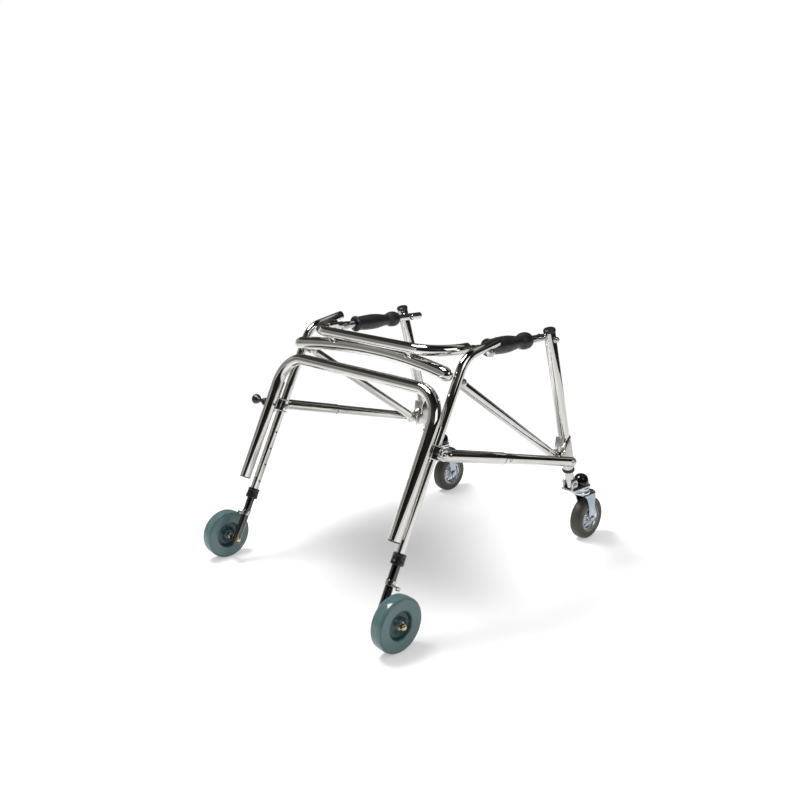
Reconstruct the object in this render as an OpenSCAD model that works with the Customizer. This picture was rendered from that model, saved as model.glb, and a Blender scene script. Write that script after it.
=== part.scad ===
// Posterior walker: a folding chrome tube frame that stands behind its user.
// X is to the right, Y is the walking direction, Z is up. The floor is Z = 0.
// Shared shapes are drawn for the right side and mirrored for the left.

/* [Stance] */
// Distance between the side tubes
side_spread = 550; // [540:1:560]
// Distance of a rear frame leg outside its side tube
rear_out = 5; // [3:0.5:8]
// Distance of a rear wheel's middle outside the side tube
wheel_out = 52; // [48:1:60]
// Distance of a lower rail outside the side tube
rail_out = 28; // [27:0.5:34]
// Distance of a brace inside the side tube
brace_in = 13; // [12:0.5:14]
// Distance of a front post inside the side tube
post_in = 15; // [13:0.5:18]
// Distance of a hand grip inside the side tube
handle_in = 41; // [40:1:55]
// Run of a rear leg, from its axle forward to the frame's rear corner
leg_run = 260.693; // [240:0.001:280]
// Run of a front post, from the stem's foot back to the handle rod
post_run = 122.167; // [110:0.001:140]
// Distance of the caster's swivel axis in front of the stem's foot
arm_reach = 45; // [42:1:58]
// Distance of the caster's axle from its swivel axis
caster_trail = 34.5; // [28:0.5:38]

/* [Heights] */
// Height of the frame's rear corners, from which the drops below are taken
handle_h = 597; // [580:1:620]
// Drop of the side tube's bend below that corner
side_corner_drop = 9.6; // [8:0.2:11]
// Drop of the upper back bar
upper_bar_drop = 2; // [0:0.5:5]
// Drop of the grip pivot below the axis of the side tube's top run
grip_pivot_drop = 16; // [16:0.5:18]
// Drop of the place where a handle rod crosses its post
rod_drop = 12.5; // [10:0.5:18]
// Height of a post's top over that place
post_over_rod = 18.5; // [18:0.5:34]
// Drop of the lower back bar's ends
lower_bar_drop = 46; // [43:1:50]
// Drop of the rear frame's top bar below those ends
rear_bar_gap = 31; // [26:1:40]
// Drop of the upper pivot of the diagonal brace
brace_drop = 67; // [60:1:80]
// Drop of the rear pivot of the lower rail
rail_drop = 206; // [198:1:215]
// Height of the lower end of the side tubes
side_foot_h = 166; // [160:1:180]
// Height of the pivot shared by rail, brace and gusset, over the caster arm
front_pivot_rise = 102; // [98:1:112]
// Drop of the bottom of the front posts below that pivot
post_below = 42; // [36:1:50]

/* [Reaches] */
// Axis distance between a rear frame leg and its side tube
tube_pitch = 36.8; // [34:0.2:40]
// Axis length of the rear frame's legs
rear_leg_len = 329.6; // [300:0.2:350]
// Distance of the grip pivot in front of the rear corner
grip_pivot_run = 78; // [74:1:84]
// Length of the side tube past that pivot
tube_past_pivot = 23.5; // [20:0.5:28]
// Length of handle rod between the grip and the post's axis
rod_show = 48.95; // [30:0.05:70]
// Length of the handle rod past the post
rod_tail = 38; // [32:1:60]
// Distance of the upper back bar behind the rear corner
upper_bar_setback = 44; // [38:1:50]
// Distance of the brace lug's pivot from the side tube's axis
lug_reach = 21; // [20:0.5:26]
// Distance of the shared front pivot behind the post's axis
gusset_reach = 44; // [40:1:50]
// Rise of the lower back bar's middle over its ends
lower_bar_bow = 28; // [20:1:34]
// Tilt of the plane of that bow from level
lower_bar_tilt = 36; // [20:1:50]

/* [Tubes] */
// Diameter of the rear frame tube
rear_tube_d = 28.6; // [26:0.2:29]
// Diameter of the side tubes
side_tube_d = 22; // [21:0.2:23]
// Wall of the tubes
tube_wall = 1.2; // [1:0.1:1.5]
// Diameter of the front posts
post_d = 28.6; // [28:0.2:29.4]
// Thickness of the bush between a post and its stem
stem_bush_t = 2.1; // [1.6:0.1:3]
// Diameter of the upper back bar
upper_bar_d = 25.4; // [24:0.2:26]
// Diameter of the lower back bar
lower_bar_d = 28; // [26:0.2:28.6]
// Diameter of the diagonal braces
brace_d = 22; // [20:0.2:23]
// Diameter of the outer lower rails
rail_d = 28; // [27:0.2:28.6]
// Clearance between the outer and inner lower rails
rail_clear = 2.05; // [1.8:0.05:2.6]
// Diameter of the handle rods
rod_d = 19; // [18:0.2:20]
// Bend radius of the rear frame, on the axis
rear_bend_r = 72; // [60:1:80]
// Bend radius of the side tubes
side_bend_r = 65; // [55:1:75]
// Rise of the side tube's top run, in degrees
side_top_rise = 11; // [9:0.5:13]
// Bend radius of the upper back bar
upper_bend_r = 84; // [70:1:90]

/* [Telescopes] */
// Length of the outer lower rail, from its pivot
rail_outer_len = 206; // [190:1:230]
// Length of the inner rail that is held inside the outer rail
rail_hidden_len = 70; // [50:1:72]
// Distance of the lock button from the mouth of the outer rail
button_gap = 20; // [12:1:40]
// Diameter of the lock button
button_d = 8; // [6:0.5:10]
// Height of the lock button over the inner rail
button_rise = 1.6; // [1.2:0.1:1.6]
// Distance of the inner leg's top below the rail pivot
leg_top_gap = 100; // [85:1:130]
// Length of the inner leg past its axle
leg_tail = 13; // [11:0.5:18]
// Length of the caster stem inside its post
stem_hidden_len = 130; // [110:1:180]
// Running gap of a tube that slides in another piece
slide_gap = 0.1; // [0.05:0.01:0.15]

/* [Rear wheels] */
// Diameter of the rear wheels
rear_wheel_d = 125; // [115:1:135]
// Width of the rear wheels
rear_wheel_w = 28; // [26:1:32]
// Diameter of the hub recess
hub_d = 66; // [56:1:72]
// Rounding of the tread's shoulders
shoulder_r = 8; // [5:0.5:10]
// Thickness of the hub's web
hub_web = 8; // [6:0.5:10]
// Diameter of the hub's boss
hub_boss_d = 24; // [20:1:30]
// Diameter of the rear axles
rear_axle_d = 8; // [6:0.5:10]

/* [Casters] */
// Diameter of the caster wheels
caster_wheel_d = 118; // [110:1:125]
// Width of the caster tyres
caster_wheel_w = 27; // [24:0.5:29]
// Diameter of the caster's steel rim
rim_d = 66; // [58:1:72]
// Clearance between the tyre and each leg of the fork
fork_clear = 3.5; // [2.5:0.5:5]
// Thickness of the fork's steel
fork_t = 2.5; // [2:0.1:3]
// Height of the fork's crown over the tyre
crown_clear = 22; // [18:1:26]
// Height of the top face of the caster arm over the crown
arm_rise = 24; // [22:1:29]
// Thickness of the caster arm
arm_t = 5; // [4:0.5:6]
// Diameter of the kingpin
kingpin_d = 12; // [10:0.5:13]
// Diameter of the dome over the kingpin
dome_d = 44; // [38:1:46]
// Height of the dome
dome_rise = 30; // [28:1:36]
// Diameter of the caster axles
caster_axle_d = 8; // [6:0.5:10]

/* [Grips and fittings] */
// Length of a grip
grip_len = 160; // [140:1:168]
// Distance of the grip's flange from its pivot
grip_offset = 38; // [34:0.5:42]
// Diameter of the grip's flange
grip_flange_d = 43; // [40:1:46]
// Thickest diameter of the grip's palm swell
grip_swell_d = 38.5; // [36:0.5:40]
// Diameter of the waist in front of the palm
grip_waist_d = 32; // [28:0.5:34]
// Diameter of the bulb at the grip's front
grip_bulb_d = 43; // [40:1:46]
// Diameter of the pivot bolts
bolt_d = 8; // [6:0.5:9]
// Width across the corners of the bolt heads
bolt_head_d = 15; // [13:0.5:17]
// Height of the bolt heads and nuts
bolt_head_h = 5; // [4:0.5:6]
// Length of the collar round the lower end of a side tube
collar_len = 25; // [20:1:30]
// Diameter of that collar
collar_d = 31; // [28:0.5:34]
// Length of the pull knob
knob_len = 50; // [44:1:52]
// Diameter of the pull knob's disc
knob_d = 27; // [24:1:30]

/* [Hidden] */
$fn = 64;
// Overrun of every cut
over = 1;
// Gap between faces of pieces that move past each other
face_gap = 0.3;
// Running clearance of a shaft, on its radius
run_gap = 0.05;

// Half spreads of the parts of the right side
side_x = side_spread / 2;
rear_x = side_x + rear_out;
wheel_x = side_x + wheel_out;
rail_x = side_x + rail_out;
brace_x = side_x - brace_in;
post_x = side_x - post_in;
handle_x = side_x - handle_in;

// Tubes and wheels that fit one in the other
stem_d = post_d - 2 * (tube_wall + stem_bush_t);
rail_inner_d = rail_d - 2 * (tube_wall + rail_clear);
leg_bore = side_tube_d - 2 * tube_wall;
inner_leg_d = leg_bore - 2 * slide_gap;
fork_gap = caster_wheel_w + 2 * fork_clear;
side_top_run = grip_pivot_run + tube_past_pivot;

// Heights
crown_h = caster_wheel_d + crown_clear;
arm_h = crown_h + arm_rise;
upper_bar_h = handle_h - upper_bar_drop;
side_corner_h = handle_h - side_corner_drop;
rod_h = handle_h - rod_drop;
post_top_h = rod_h + post_over_rod;
lower_bar_h = handle_h - lower_bar_drop;
rear_bar_h = lower_bar_h - rear_bar_gap;
brace_top_h = handle_h - brace_drop;
rail_rear_h = handle_h - rail_drop;
rail_front_h = arm_h + front_pivot_rise;
post_foot_h = rail_front_h - post_below;

// Wheels and leans, with the object's length centred on Y = 0
rear_r = rear_wheel_d / 2;
caster_r = caster_wheel_d / 2;
wheelbase = leg_run + grip_pivot_run + grip_offset + grip_len + rod_show + post_run + arm_reach + caster_trail;
rear_axle_y = (rear_r - caster_r - wheelbase) / 2;
caster_axle_y = rear_axle_y + wheelbase;
swivel_y = caster_axle_y - caster_trail;
rear_lean = atan2(leg_run, handle_h - rear_r);
post_lean = atan2(post_run, rod_h - arm_h);
leg_hidden_len = (rail_rear_h - side_foot_h) / cos(rear_lean) - leg_top_gap;

// Lines of the side view: a point on the axis of the leg, rear frame or post at height z,
// and of the side tube's top run at y
function leg_y(z) = rear_axle_y + (z - rear_r) * tan(rear_lean);
function rear_y(z) = leg_y(z) - tube_pitch / cos(rear_lean);
function post_y(z) = swivel_y - arm_reach - (z - arm_h) * tan(post_lean);
function top_z(y) = side_corner_h + (y - leg_y(side_corner_h)) * tan(side_top_rise);
corner_y = leg_y(handle_h);

// Pivots in the side view, as [y, z]
grip_y = corner_y + grip_pivot_run;
grip_pivot = [grip_y, top_z(grip_y) - grip_pivot_drop];
rod_pivot = [post_y(rod_h), rod_h];
brace_pivot = [leg_y(brace_top_h) + lug_reach / cos(rear_lean), brace_top_h];
rail_pivot = [leg_y(rail_rear_h), rail_rear_h];
front_pivot = [post_y(rail_front_h) - gusset_reach, rail_front_h];
function rise(p, q) = atan2(q[1] - p[1], q[0] - p[0]);
function span(p, q) = norm(q - p);
rod_rise = rise(grip_pivot, rod_pivot);
rod_len = span(grip_pivot, rod_pivot) + rod_tail;
brace_rise = rise(brace_pivot, front_pivot);
brace_len = span(brace_pivot, front_pivot);
rail_rise = rise(rail_pivot, front_pivot);
rail_len = span(rail_pivot, front_pivot);

// Sheet and plate sizes
lug_t = 4;
lug_w = 20;
grip_lug_t = 10;
gusset_t = 2.5;
gusset_rise = 52;
gusset_drop = 16;
gusset_eye_r = 14;
gusset_wrap = 2;
gusset_gap = 0.5;
knuckle_w = 13;
knuckle_tail = 16;
eye_share = 0.7;
brace_eye_w = brace_d * eye_share;
neck_share = 0.82;
brace_neck = brace_eye_w * neck_share;
knuckle_neck = knuckle_w * neck_share;
clevis_slot = 15;
clevis_t = 3;
clevis_r = 10;
clevis_len = 30;
clevis_root = 8;
tongue_r = 9;
tongue_len = 14;
weld_bite = 1;
vent_d = 5;
vent_share = 0.92;
end_plate = 2;

// Hinge bracket between a rear frame leg and its side tube
hinge_half = 16;
hinge_plate_t = 3;
hinge_plate_rim = 3;
hinge_block_d = 30;
hinge_pin_d = 9;
hinge_pin_up = 40;
hinge_pin_down = 8;
hinge_pin_back = 17.48;
hinge_pin_rim = 4;
hinge_edge = rail_out - knuckle_w / 2 - bolt_head_h;
hinge_pin_out = hinge_edge - hinge_pin_rim - hinge_pin_d / 2;
shoulder_d = 16;

// Pull pin in the left rear frame leg
pin_rise = 11;
pin_h = rail_rear_h + pin_rise;
pin_d = 6;
pin_tip = 5;
pin_bush_d = 15;
pin_bush_len = 4;
knob_base_d = 22;
knob_waist_d = 9;
knob_rim = 6;

// Small black mouldings
plug_lip = 3;
plug_depth = 10;
plug_wall = 3;
cap_rise = 9;
cap_wall = 2.2;
cap_d = post_d + 2 * cap_wall;
bush_lip = 8;
bush_wall = 2;
bush_d = post_d + 2 * bush_wall;
bush_depth = 25;

// Rear wheel and axle fittings
web_shift = 2;
washer_d = 18;
washer_t = 1.5;
axle_nut_d = 15;
axle_nut_h = 7;
axle_end = 4;
spacer_d = 14;
stop_w = 12;
stop_t = 2.5;
stop_gap = 4;
stop_ring_h = 12;
stop_ring_wall = 2;

// Caster fittings
race_d = 34;
crown_d = 48;
fork_eye_r = 12;
fork_rear = 18;
fork_front = 46;
rim_bead = 3;
rim_disc = 4;
rim_boss_d = 22;
dome_wall = 2.5;
kingpin_head = 8;
ear_t = 4;
ear_w = 26;
ear_rise = 26;
stem_lift = 7;
stem_bolt_rise = 12;
arm_w = 46;
arm_tail = 14;
kingpin_nut_d = 20;
tyre_edge_r = 6;

// The same piece on the left side
module left() { mirror([1, 0, 0]) children(); }

// A pipe along Z
module pipe(h, d, w) {
    difference() {
        cylinder(h = h, d = d);
        translate([0, 0, -over]) cylinder(h = h + 2 * over, d = d - 2 * w);
    }
}

// A quarter or part bend that starts upwards at the origin and turns towards +Y
module bend(r, turn, d, w) {
    translate([0, r, 0]) rotate([90, 0, 0]) rotate([0, -90, 0]) rotate_extrude(angle = turn)
        translate([r, 0]) difference() {
            circle(d = d);
            circle(d = d - 2 * w);
        }
}

// A U of tube in the XZ plane: its top run on Z = 0, its legs pointing down
module u_tube(half, leg, r, d, w) {
    translate([r - half, 0, 0]) rotate([0, 90, 0]) pipe(2 * (half - r), d, w);
    for (side = [0, 1]) mirror([side, 0, 0]) {
        translate([-half, 0, -leg]) pipe(leg - r, d, w);
        translate([-half, 0, -r]) rotate([0, 0, -90]) bend(r, 90, d, w);
    }
}

// A cylinder along X between two places
module along_x(from, to, d) {
    translate([from, 0, 0]) rotate([0, 90, 0]) cylinder(h = to - from, d = d);
}

// Places children with their Z along a line that rises by an angle from +Y
module on_line(x, p, angle) {
    translate([x, p[0], p[1]]) rotate([angle - 90, 0, 0]) children();
}

// Places children on the axis of a leg or a post, with Z up the tube
module on_leg(x, z) { on_line(x, [leg_y(z), z], 90 - rear_lean) children(); }
module on_post(z) { on_line(post_x, [post_y(z), z], 90 + post_lean) children(); }
module at(x, p) { translate([x, p[0], p[1]]) children(); }

// A bolt along X with a hexagon nut at its inner end and a domed head at its outer end
module bolt(from, to) {
    along_x(from, to, bolt_d);
    translate([from - bolt_head_h, 0, 0]) rotate([0, 90, 0])
        cylinder(h = bolt_head_h, d = bolt_head_d, $fn = 6);
    dome_head(to);
}
module dome_head(from) {
    translate([from, 0, 0]) rotate([0, 90, 0]) rotate_extrude() intersection() {
        square([bolt_head_d / 2, bolt_head_h]);
        translate([0, bolt_head_h - head_sphere]) circle(r = head_sphere);
    }
}
head_sphere = (pow(bolt_head_d / 2, 2) + pow(bolt_head_h, 2)) / (2 * bolt_head_h);

// Rear frame: one tube bent to an upside-down U, drilled for the pull pin
module rear_frame() color("silver") difference() {
    translate([0, rear_y(rear_bar_h), rear_bar_h]) rotate([-rear_lean, 0, 0])
        u_tube(rear_x, rear_leg_len, rear_bend_r, rear_tube_d, tube_wall);
    at(-rear_x, [rear_y(pin_h), pin_h])
        along_x(-rear_tube_d, rear_tube_d, pin_d + 2 * run_gap);
}

// Side tube: up along the leg and bent forwards, with lugs for the brace and the grip pivot
side_turn = 90 - rear_lean - side_top_rise;
side_cut = side_bend_r * tan(side_turn / 2);
side_run = (side_corner_h - side_foot_h) / cos(rear_lean) - side_cut;
top_reach = corner_y + side_top_run - leg_y(side_corner_h);
top_straight = top_reach / cos(side_top_rise) - side_cut;
module on_top_run() {
    on_leg(side_x, side_foot_h) translate([0, side_bend_r, side_run]) rotate([-side_turn, 0, 0])
        translate([0, -side_bend_r, 0]) children();
}
module side_tube() color("silver") difference() {
    union() {
        on_leg(side_x, side_foot_h) {
            pipe(side_run, side_tube_d, tube_wall);
            translate([0, 0, side_run]) bend(side_bend_r, side_turn, side_tube_d, tube_wall);
        }
        on_top_run() pipe(top_straight, side_tube_d, tube_wall);
        difference() {
            brace_lug();
            on_leg(side_x, side_foot_h) cylinder(h = side_run, d = side_tube_d - tube_wall);
        }
        grip_lug();
    }
    at(0, rail_pivot) along_x(side_x - side_tube_d, side_x + side_tube_d, bolt_d);
    at(0, grip_pivot) along_x(side_x - side_tube_d, side_x + side_tube_d, bolt_d);
    at(0, brace_pivot) along_x(side_x - side_tube_d, side_x + side_tube_d, bolt_d);
}
grip_lug_rise = grip_pivot_drop * cos(side_top_rise) - (side_tube_d - tube_wall) / 2;
module grip_lug() {
    at(side_x - lug_t / 2, grip_pivot) {
        along_x(0, grip_lug_t, lug_w);
        rotate([side_top_rise, 0, 0]) translate([0, -lug_w / 2, 0])
            cube([grip_lug_t, lug_w, grip_lug_rise]);
    }
}
module brace_lug() {
    at(side_x - lug_t / 2, brace_pivot) {
        along_x(0, lug_t, lug_w);
        rotate([-rear_lean, 0, 0]) translate([0, -lug_reach, -lug_w / 2]) cube([lug_t, lug_reach, lug_w]);
    }
}

// Lower back bar: a bowed tube welded behind the side tubes, with closed ends
bar_half = side_x - lug_t;
bar_radius = (pow(bar_half, 2) + pow(lower_bar_bow, 2)) / (2 * lower_bar_bow);
bar_turn = 2 * asin(bar_half / bar_radius);
bar_end_y = leg_y(lower_bar_h) - ((side_tube_d + lower_bar_d) / 2 - weld_bite) / cos(rear_lean);
end_turn = end_plate / bar_radius * 180 / PI;
bar_steps = 640;
module bar_arc(turn, d) {
    translate([0, bar_end_y, lower_bar_h]) rotate([lower_bar_tilt, 0, 0])
        translate([0, lower_bar_bow - bar_radius, 0]) rotate([0, 0, 90 - turn / 2])
            rotate_extrude(angle = turn, $fn = bar_steps)
                translate([bar_radius, 0]) circle(d = d, $fn = 64);
}
module lower_back_bar() color("silver") difference() {
    bar_arc(bar_turn, lower_bar_d);
    bar_arc(bar_turn - 2 * end_turn, lower_bar_d - 2 * tube_wall);
    translate([0, bar_end_y + lower_bar_bow * cos(lower_bar_tilt), lower_bar_h])
        translate([0, 0, lower_bar_bow * sin(lower_bar_tilt) - lower_bar_d])
            cylinder(h = lower_bar_d, d = vent_d);
    for (side = [-1, 1]) on_leg(side * side_x, side_foot_h)
        cylinder(h = side_run + side_tube_d, d = side_tube_d);
}

// Upper back bar: a level U whose arms end in clevises for the hand grips
arm_front = grip_pivot[0] - clevis_len;
upper_bar_y = corner_y - upper_bar_setback;
module upper_back_bar() color("silver") {
    translate([0, upper_bar_y, upper_bar_h]) rotate([90, 0, 0])
        u_tube(handle_x, arm_front - upper_bar_y, upper_bend_r, upper_bar_d, tube_wall);
    clevis();
    left() clevis();
}
module clevis() {
    difference() {
        union() {
            translate([handle_x, arm_front - clevis_root, upper_bar_h]) rotate([-90, 0, 0])
                cylinder(h = clevis_root + clevis_t, d = upper_bar_d - tube_wall);
            for (place = [-1, 1])
                at(handle_x + place * (clevis_slot + clevis_t) / 2 - clevis_t / 2, grip_pivot) {
                    along_x(0, clevis_t, 2 * clevis_r);
                    translate([0, -clevis_len, -clevis_r]) cube([clevis_t, clevis_len, 2 * clevis_r]);
                }
        }
        at(0, grip_pivot) along_x(handle_x - upper_bar_d, handle_x + upper_bar_d, bolt_d);
    }
}

// Straps that carry the upper back bar on the lower one
link_share = 0.9;
link_w = 22;
link_x = (handle_x - upper_bend_r) * link_share;
link_turn = asin(link_x / bar_radius);
link_y = bar_end_y + (lower_bar_bow - bar_radius * (1 - cos(link_turn))) * cos(lower_bar_tilt);
link_z = lower_bar_h + (lower_bar_bow - bar_radius * (1 - cos(link_turn))) * sin(lower_bar_tilt);
module bar_links() color("silver") difference() {
    for (side = [-1, 1]) translate([side * link_x - link_w / 2, 0, 0])
        translate([0, (upper_bar_y + link_y) / 2 - link_w / 2, link_z])
            cube([link_w, link_w, upper_bar_h - link_z]);
    bar_arc(bar_turn, lower_bar_d);
    translate([0, upper_bar_y, upper_bar_h]) along_x(-handle_x, handle_x, upper_bar_d);
}

// Hinge bracket: two plates round a rear frame leg and its side tube
module on_hinge() { on_line(side_x, rail_pivot, 90 - rear_lean) children(); }
hinge_pin_y = -hinge_pin_back;
module plate_outline() {
    intersection() {
        union() {
            circle(d = side_tube_d + 4 * hinge_plate_rim);
            translate([rear_x - side_x, -tube_pitch]) circle(d = rear_tube_d + 2 * hinge_plate_rim);
            translate([-side_tube_d / 2, -tube_pitch]) square([side_tube_d + hinge_pin_out, tube_pitch]);
        }
        translate([-rear_tube_d, -2 * tube_pitch]) square([rear_tube_d + hinge_edge, 3 * tube_pitch]);
    }
}
module hinge_bracket() color("silver") on_hinge() difference() {
    for (z = [-hinge_half, hinge_half - hinge_plate_t]) translate([0, 0, z])
        linear_extrude(hinge_plate_t) plate_outline();
    translate([0, 0, -hinge_half - over]) cylinder(h = 2 * (hinge_half + over), d = side_tube_d);
    translate([rear_x - side_x, -tube_pitch, -hinge_half - over])
        cylinder(h = 2 * (hinge_half + over), d = rear_tube_d);
    translate([hinge_pin_out, hinge_pin_y, -hinge_half - over])
        cylinder(h = 2 * (hinge_half + over), d = hinge_pin_d);
}
module hinge_blocks() color("black") {
    hinge_block();
    left() hinge_block();
}
module hinge_block() {
    difference() {
        on_hinge() difference() {
            translate([0, 0, hinge_plate_t - hinge_half])
                cylinder(h = 2 * (hinge_half - hinge_plate_t), d = hinge_block_d);
            translate([0, 0, -hinge_half]) cylinder(h = 2 * hinge_half, d = side_tube_d);
            translate([hinge_pin_out, hinge_pin_y, -hinge_half])
                cylinder(h = 2 * hinge_half, d = hinge_pin_d);
            translate([rear_x - side_x, -tube_pitch, -hinge_half])
                cylinder(h = 2 * hinge_half, d = rear_tube_d);
        }
        at(0, rail_pivot) along_x(side_x - 2 * side_tube_d, side_x + 2 * side_tube_d, shoulder_d);
    }
}
module hinge_pins() color("silver") {
    hinge_pin();
    left() hinge_pin();
}
module hinge_pin() {
    on_hinge() translate([hinge_pin_out, hinge_pin_y, -hinge_half - hinge_pin_down]) {
        cylinder(h = 2 * hinge_half + hinge_pin_down + hinge_pin_up, d = hinge_pin_d);
        translate([0, 0, 2 * hinge_half + hinge_pin_down + hinge_pin_up]) sphere(d = hinge_pin_d);
    }
}

// Plugs in the open ends of the rear frame and the side tubes
module plug(d) {
    translate([0, 0, -plug_depth]) cylinder(h = plug_depth, d = d - 2 * tube_wall);
    cylinder(h = plug_lip, d = d);
}
module tube_plugs() color("black") {
    frame_plugs();
    left() frame_plugs();
}
module frame_plugs() {
    translate([rear_x, rear_y(rear_bar_h), rear_bar_h]) rotate([180 - rear_lean, 0, 0])
        translate([0, 0, rear_leg_len]) plug(rear_tube_d);
    on_top_run() translate([0, 0, top_straight]) plug(side_tube_d);
}

// Bolts fixed to the frame: at the grip pivots, the brace lugs and the rail pivots
module frame_bolts() color("gainsboro") {
    side_bolts();
    left() side_bolts();
}
module side_bolts() {
    at(0, grip_pivot) bolt(handle_x - clevis_slot / 2 - clevis_t, side_x - lug_t / 2 + grip_lug_t);
    at(0, brace_pivot) bolt(brace_x - brace_eye_w / 2 - face_gap, side_x + lug_t / 2);
    at(0, rail_pivot) {
        bolt(side_x - hinge_block_d / 2, rail_x + knuckle_w / 2 + face_gap);
        difference() {
            along_x(side_x, rail_x - knuckle_w / 2 - face_gap, shoulder_d);
            rotate([-rear_lean, 0, 0]) translate([side_x, 0, -hinge_half])
                cylinder(h = 2 * hinge_half, d = side_tube_d);
        }
    }
}

// Pull pin: a bush on the left rear frame leg and an hourglass knob on its plunger
pin_y = rear_y(pin_h);
module on_pin() { at(-rear_x, [pin_y, pin_h]) rotate([0, -90, 0]) children(); }
bush_face = rear_tube_d / 2 + pin_bush_len;
module pull_pin_bush() color("gainsboro") difference() {
    on_pin() difference() {
        cylinder(h = bush_face, d = pin_bush_d);
        translate([0, 0, -over]) cylinder(h = bush_face + 2 * over, d = pin_d + 2 * run_gap);
    }
    translate([-rear_x, rear_y(rear_bar_h), rear_bar_h]) rotate([180 - rear_lean, 0, 0])
        cylinder(h = rear_leg_len, d = rear_tube_d);
}
module pull_pin_knob() color("black") on_pin() {
    translate([0, 0, -rear_tube_d / 2 - pin_tip])
        cylinder(h = rear_tube_d + pin_tip + pin_bush_len + over, d = pin_d);
    translate([0, 0, bush_face + face_gap]) {
        cylinder(h = knob_len / 2, d1 = knob_base_d, d2 = knob_waist_d);
        translate([0, 0, knob_len / 2]) cylinder(h = knob_len / 2 - knob_rim, d1 = knob_waist_d, d2 = knob_d);
        translate([0, 0, knob_len - knob_rim]) cylinder(h = knob_rim, d = knob_d);
    }
}

// Collar round the lower end of a side tube
module leg_collar() color("black") on_leg(side_x, side_foot_h) difference() {
    translate([0, 0, -plug_lip]) cylinder(h = collar_len, d = collar_d);
    cylinder(h = collar_len, d = side_tube_d);
    translate([0, 0, -plug_lip - over]) cylinder(h = collar_len, d = inner_leg_d + 2 * slide_gap);
}

// Inner leg: slides in the side tube and carries the rear axle
leg_span = (side_foot_h - rear_r) / cos(rear_lean);
module inner_leg() color("silver") difference() {
    on_leg(side_x, rear_r) translate([0, 0, -leg_tail])
        pipe(leg_tail + leg_span + leg_hidden_len, inner_leg_d, tube_wall);
    at(0, [rear_axle_y, rear_r]) along_x(side_x - side_tube_d, side_x + side_tube_d, rear_axle_d);
}

// Rear axle: a bolt through the leg with a spacer, washers and a nut on the wheel's outside
hub_inner = wheel_x - rear_wheel_w / 2;
hub_outer = wheel_x + rear_wheel_w / 2 - web_shift;
washer_face = hub_outer + face_gap;
axle_tip = washer_face + 2 * washer_t + axle_nut_h + axle_end;
module rear_axle() color("goldenrod") at(0, [rear_axle_y, rear_r]) difference() {
    union() {
        along_x(side_x - inner_leg_d / 2, axle_tip, rear_axle_d);
        translate([side_x - inner_leg_d / 2 - bolt_head_h, 0, 0]) rotate([0, 90, 0])
            cylinder(h = bolt_head_h + inner_leg_d / 4, d = bolt_head_d, $fn = 6);
        along_x(side_x, hub_inner - face_gap, spacer_d);
        along_x(washer_face, washer_face + washer_t, washer_d);
        along_x(washer_face + washer_t, washer_face + 2 * washer_t, washer_d - washer_t);
        translate([washer_face + 2 * washer_t, 0, 0]) rotate([0, 90, 0])
            cylinder(h = axle_nut_h, d = axle_nut_d, $fn = 6);
    }
    difference() {
        rotate([-rear_lean, 0, 0]) translate([side_x, 0, -inner_leg_d])
            cylinder(h = 2 * inner_leg_d, d = inner_leg_d);
        along_x(side_x - inner_leg_d, side_x + inner_leg_d, rear_axle_d);
    }
}

// Stop over the rear tyre: a ring on the inner leg and a tongue above the tread
stop_h = rear_r + (rear_r + stop_gap + stop_ring_h / 2) * cos(rear_lean);
module roll_stop() color("silver") difference() {
    on_leg(side_x, stop_h) {
        translate([0, 0, -stop_ring_h / 2]) cylinder(h = stop_ring_h, d = inner_leg_d + 2 * stop_ring_wall);
        translate([0, -stop_w / 2, -stop_ring_h / 2]) cube([wheel_x - side_x, stop_w, stop_t]);
    }
    on_leg(side_x, stop_h) translate([0, 0, -stop_ring_h])
        cylinder(h = 2 * stop_ring_h, d = inner_leg_d);
}

// Rear wheel: a moulded tyre on a dished hub
module on_rear_axle() { at(wheel_x, [rear_axle_y, rear_r]) rotate([0, 90, 0]) children(); }
module rear_tyre() color("slategray") on_rear_axle() rotate_extrude() difference() {
    union() {
        translate([hub_d / 2, -rear_wheel_w / 2]) square([rear_r - shoulder_r - hub_d / 2, rear_wheel_w]);
        translate([hub_d / 2, shoulder_r - rear_wheel_w / 2])
            square([rear_r - hub_d / 2, rear_wheel_w - 2 * shoulder_r]);
        for (place = [-1, 1]) translate([rear_r - shoulder_r, place * (rear_wheel_w / 2 - shoulder_r)])
            circle(r = shoulder_r);
    }
}
module rear_hub() color("darkslategray") on_rear_axle() difference() {
    union() {
        translate([0, 0, -hub_web / 2]) cylinder(h = hub_web, d = hub_d);
        translate([0, 0, -rear_wheel_w / 2]) cylinder(h = rear_wheel_w - web_shift, d = hub_boss_d);
    }
    translate([0, 0, -rear_wheel_w]) cylinder(h = 2 * rear_wheel_w, d = rear_axle_d + 2 * run_gap);
}

// Handle rod: a tongue in the clevis, then a rod that runs past the inside of the post
module on_rod() { on_line(handle_x, grip_pivot, rod_rise) children(); }
module handle_rod() color("silver") difference() {
    union() {
        on_rod() {
            translate([0, 0, tongue_len]) cylinder(h = rod_len - tongue_len, d = rod_d);
            translate([-tongue_r, -tongue_r, 0]) cube([2 * tongue_r, 2 * tongue_r, tongue_len]);
            translate([0, 0, rod_len]) dome_cap(rod_d);
        }
        at(0, grip_pivot) along_x(handle_x - tongue_r, handle_x + tongue_r, 2 * tongue_r);
        at(0, rod_pivot) along_x(handle_x - rod_d / 2 - bolt_head_h, handle_x, bolt_head_d);
    }
    for (place = [-1, 1]) on_rod() translate([place * (clevis_slot / 2 - face_gap), 0, 0])
        translate([place < 0 ? -rod_d : 0, -rod_d, -rod_d])
            cube([rod_d, 2 * rod_d, rod_d + tongue_len - over]);
    at(0, grip_pivot) along_x(handle_x - rod_d, handle_x + rod_d, bolt_d + 2 * run_gap);
}
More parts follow.
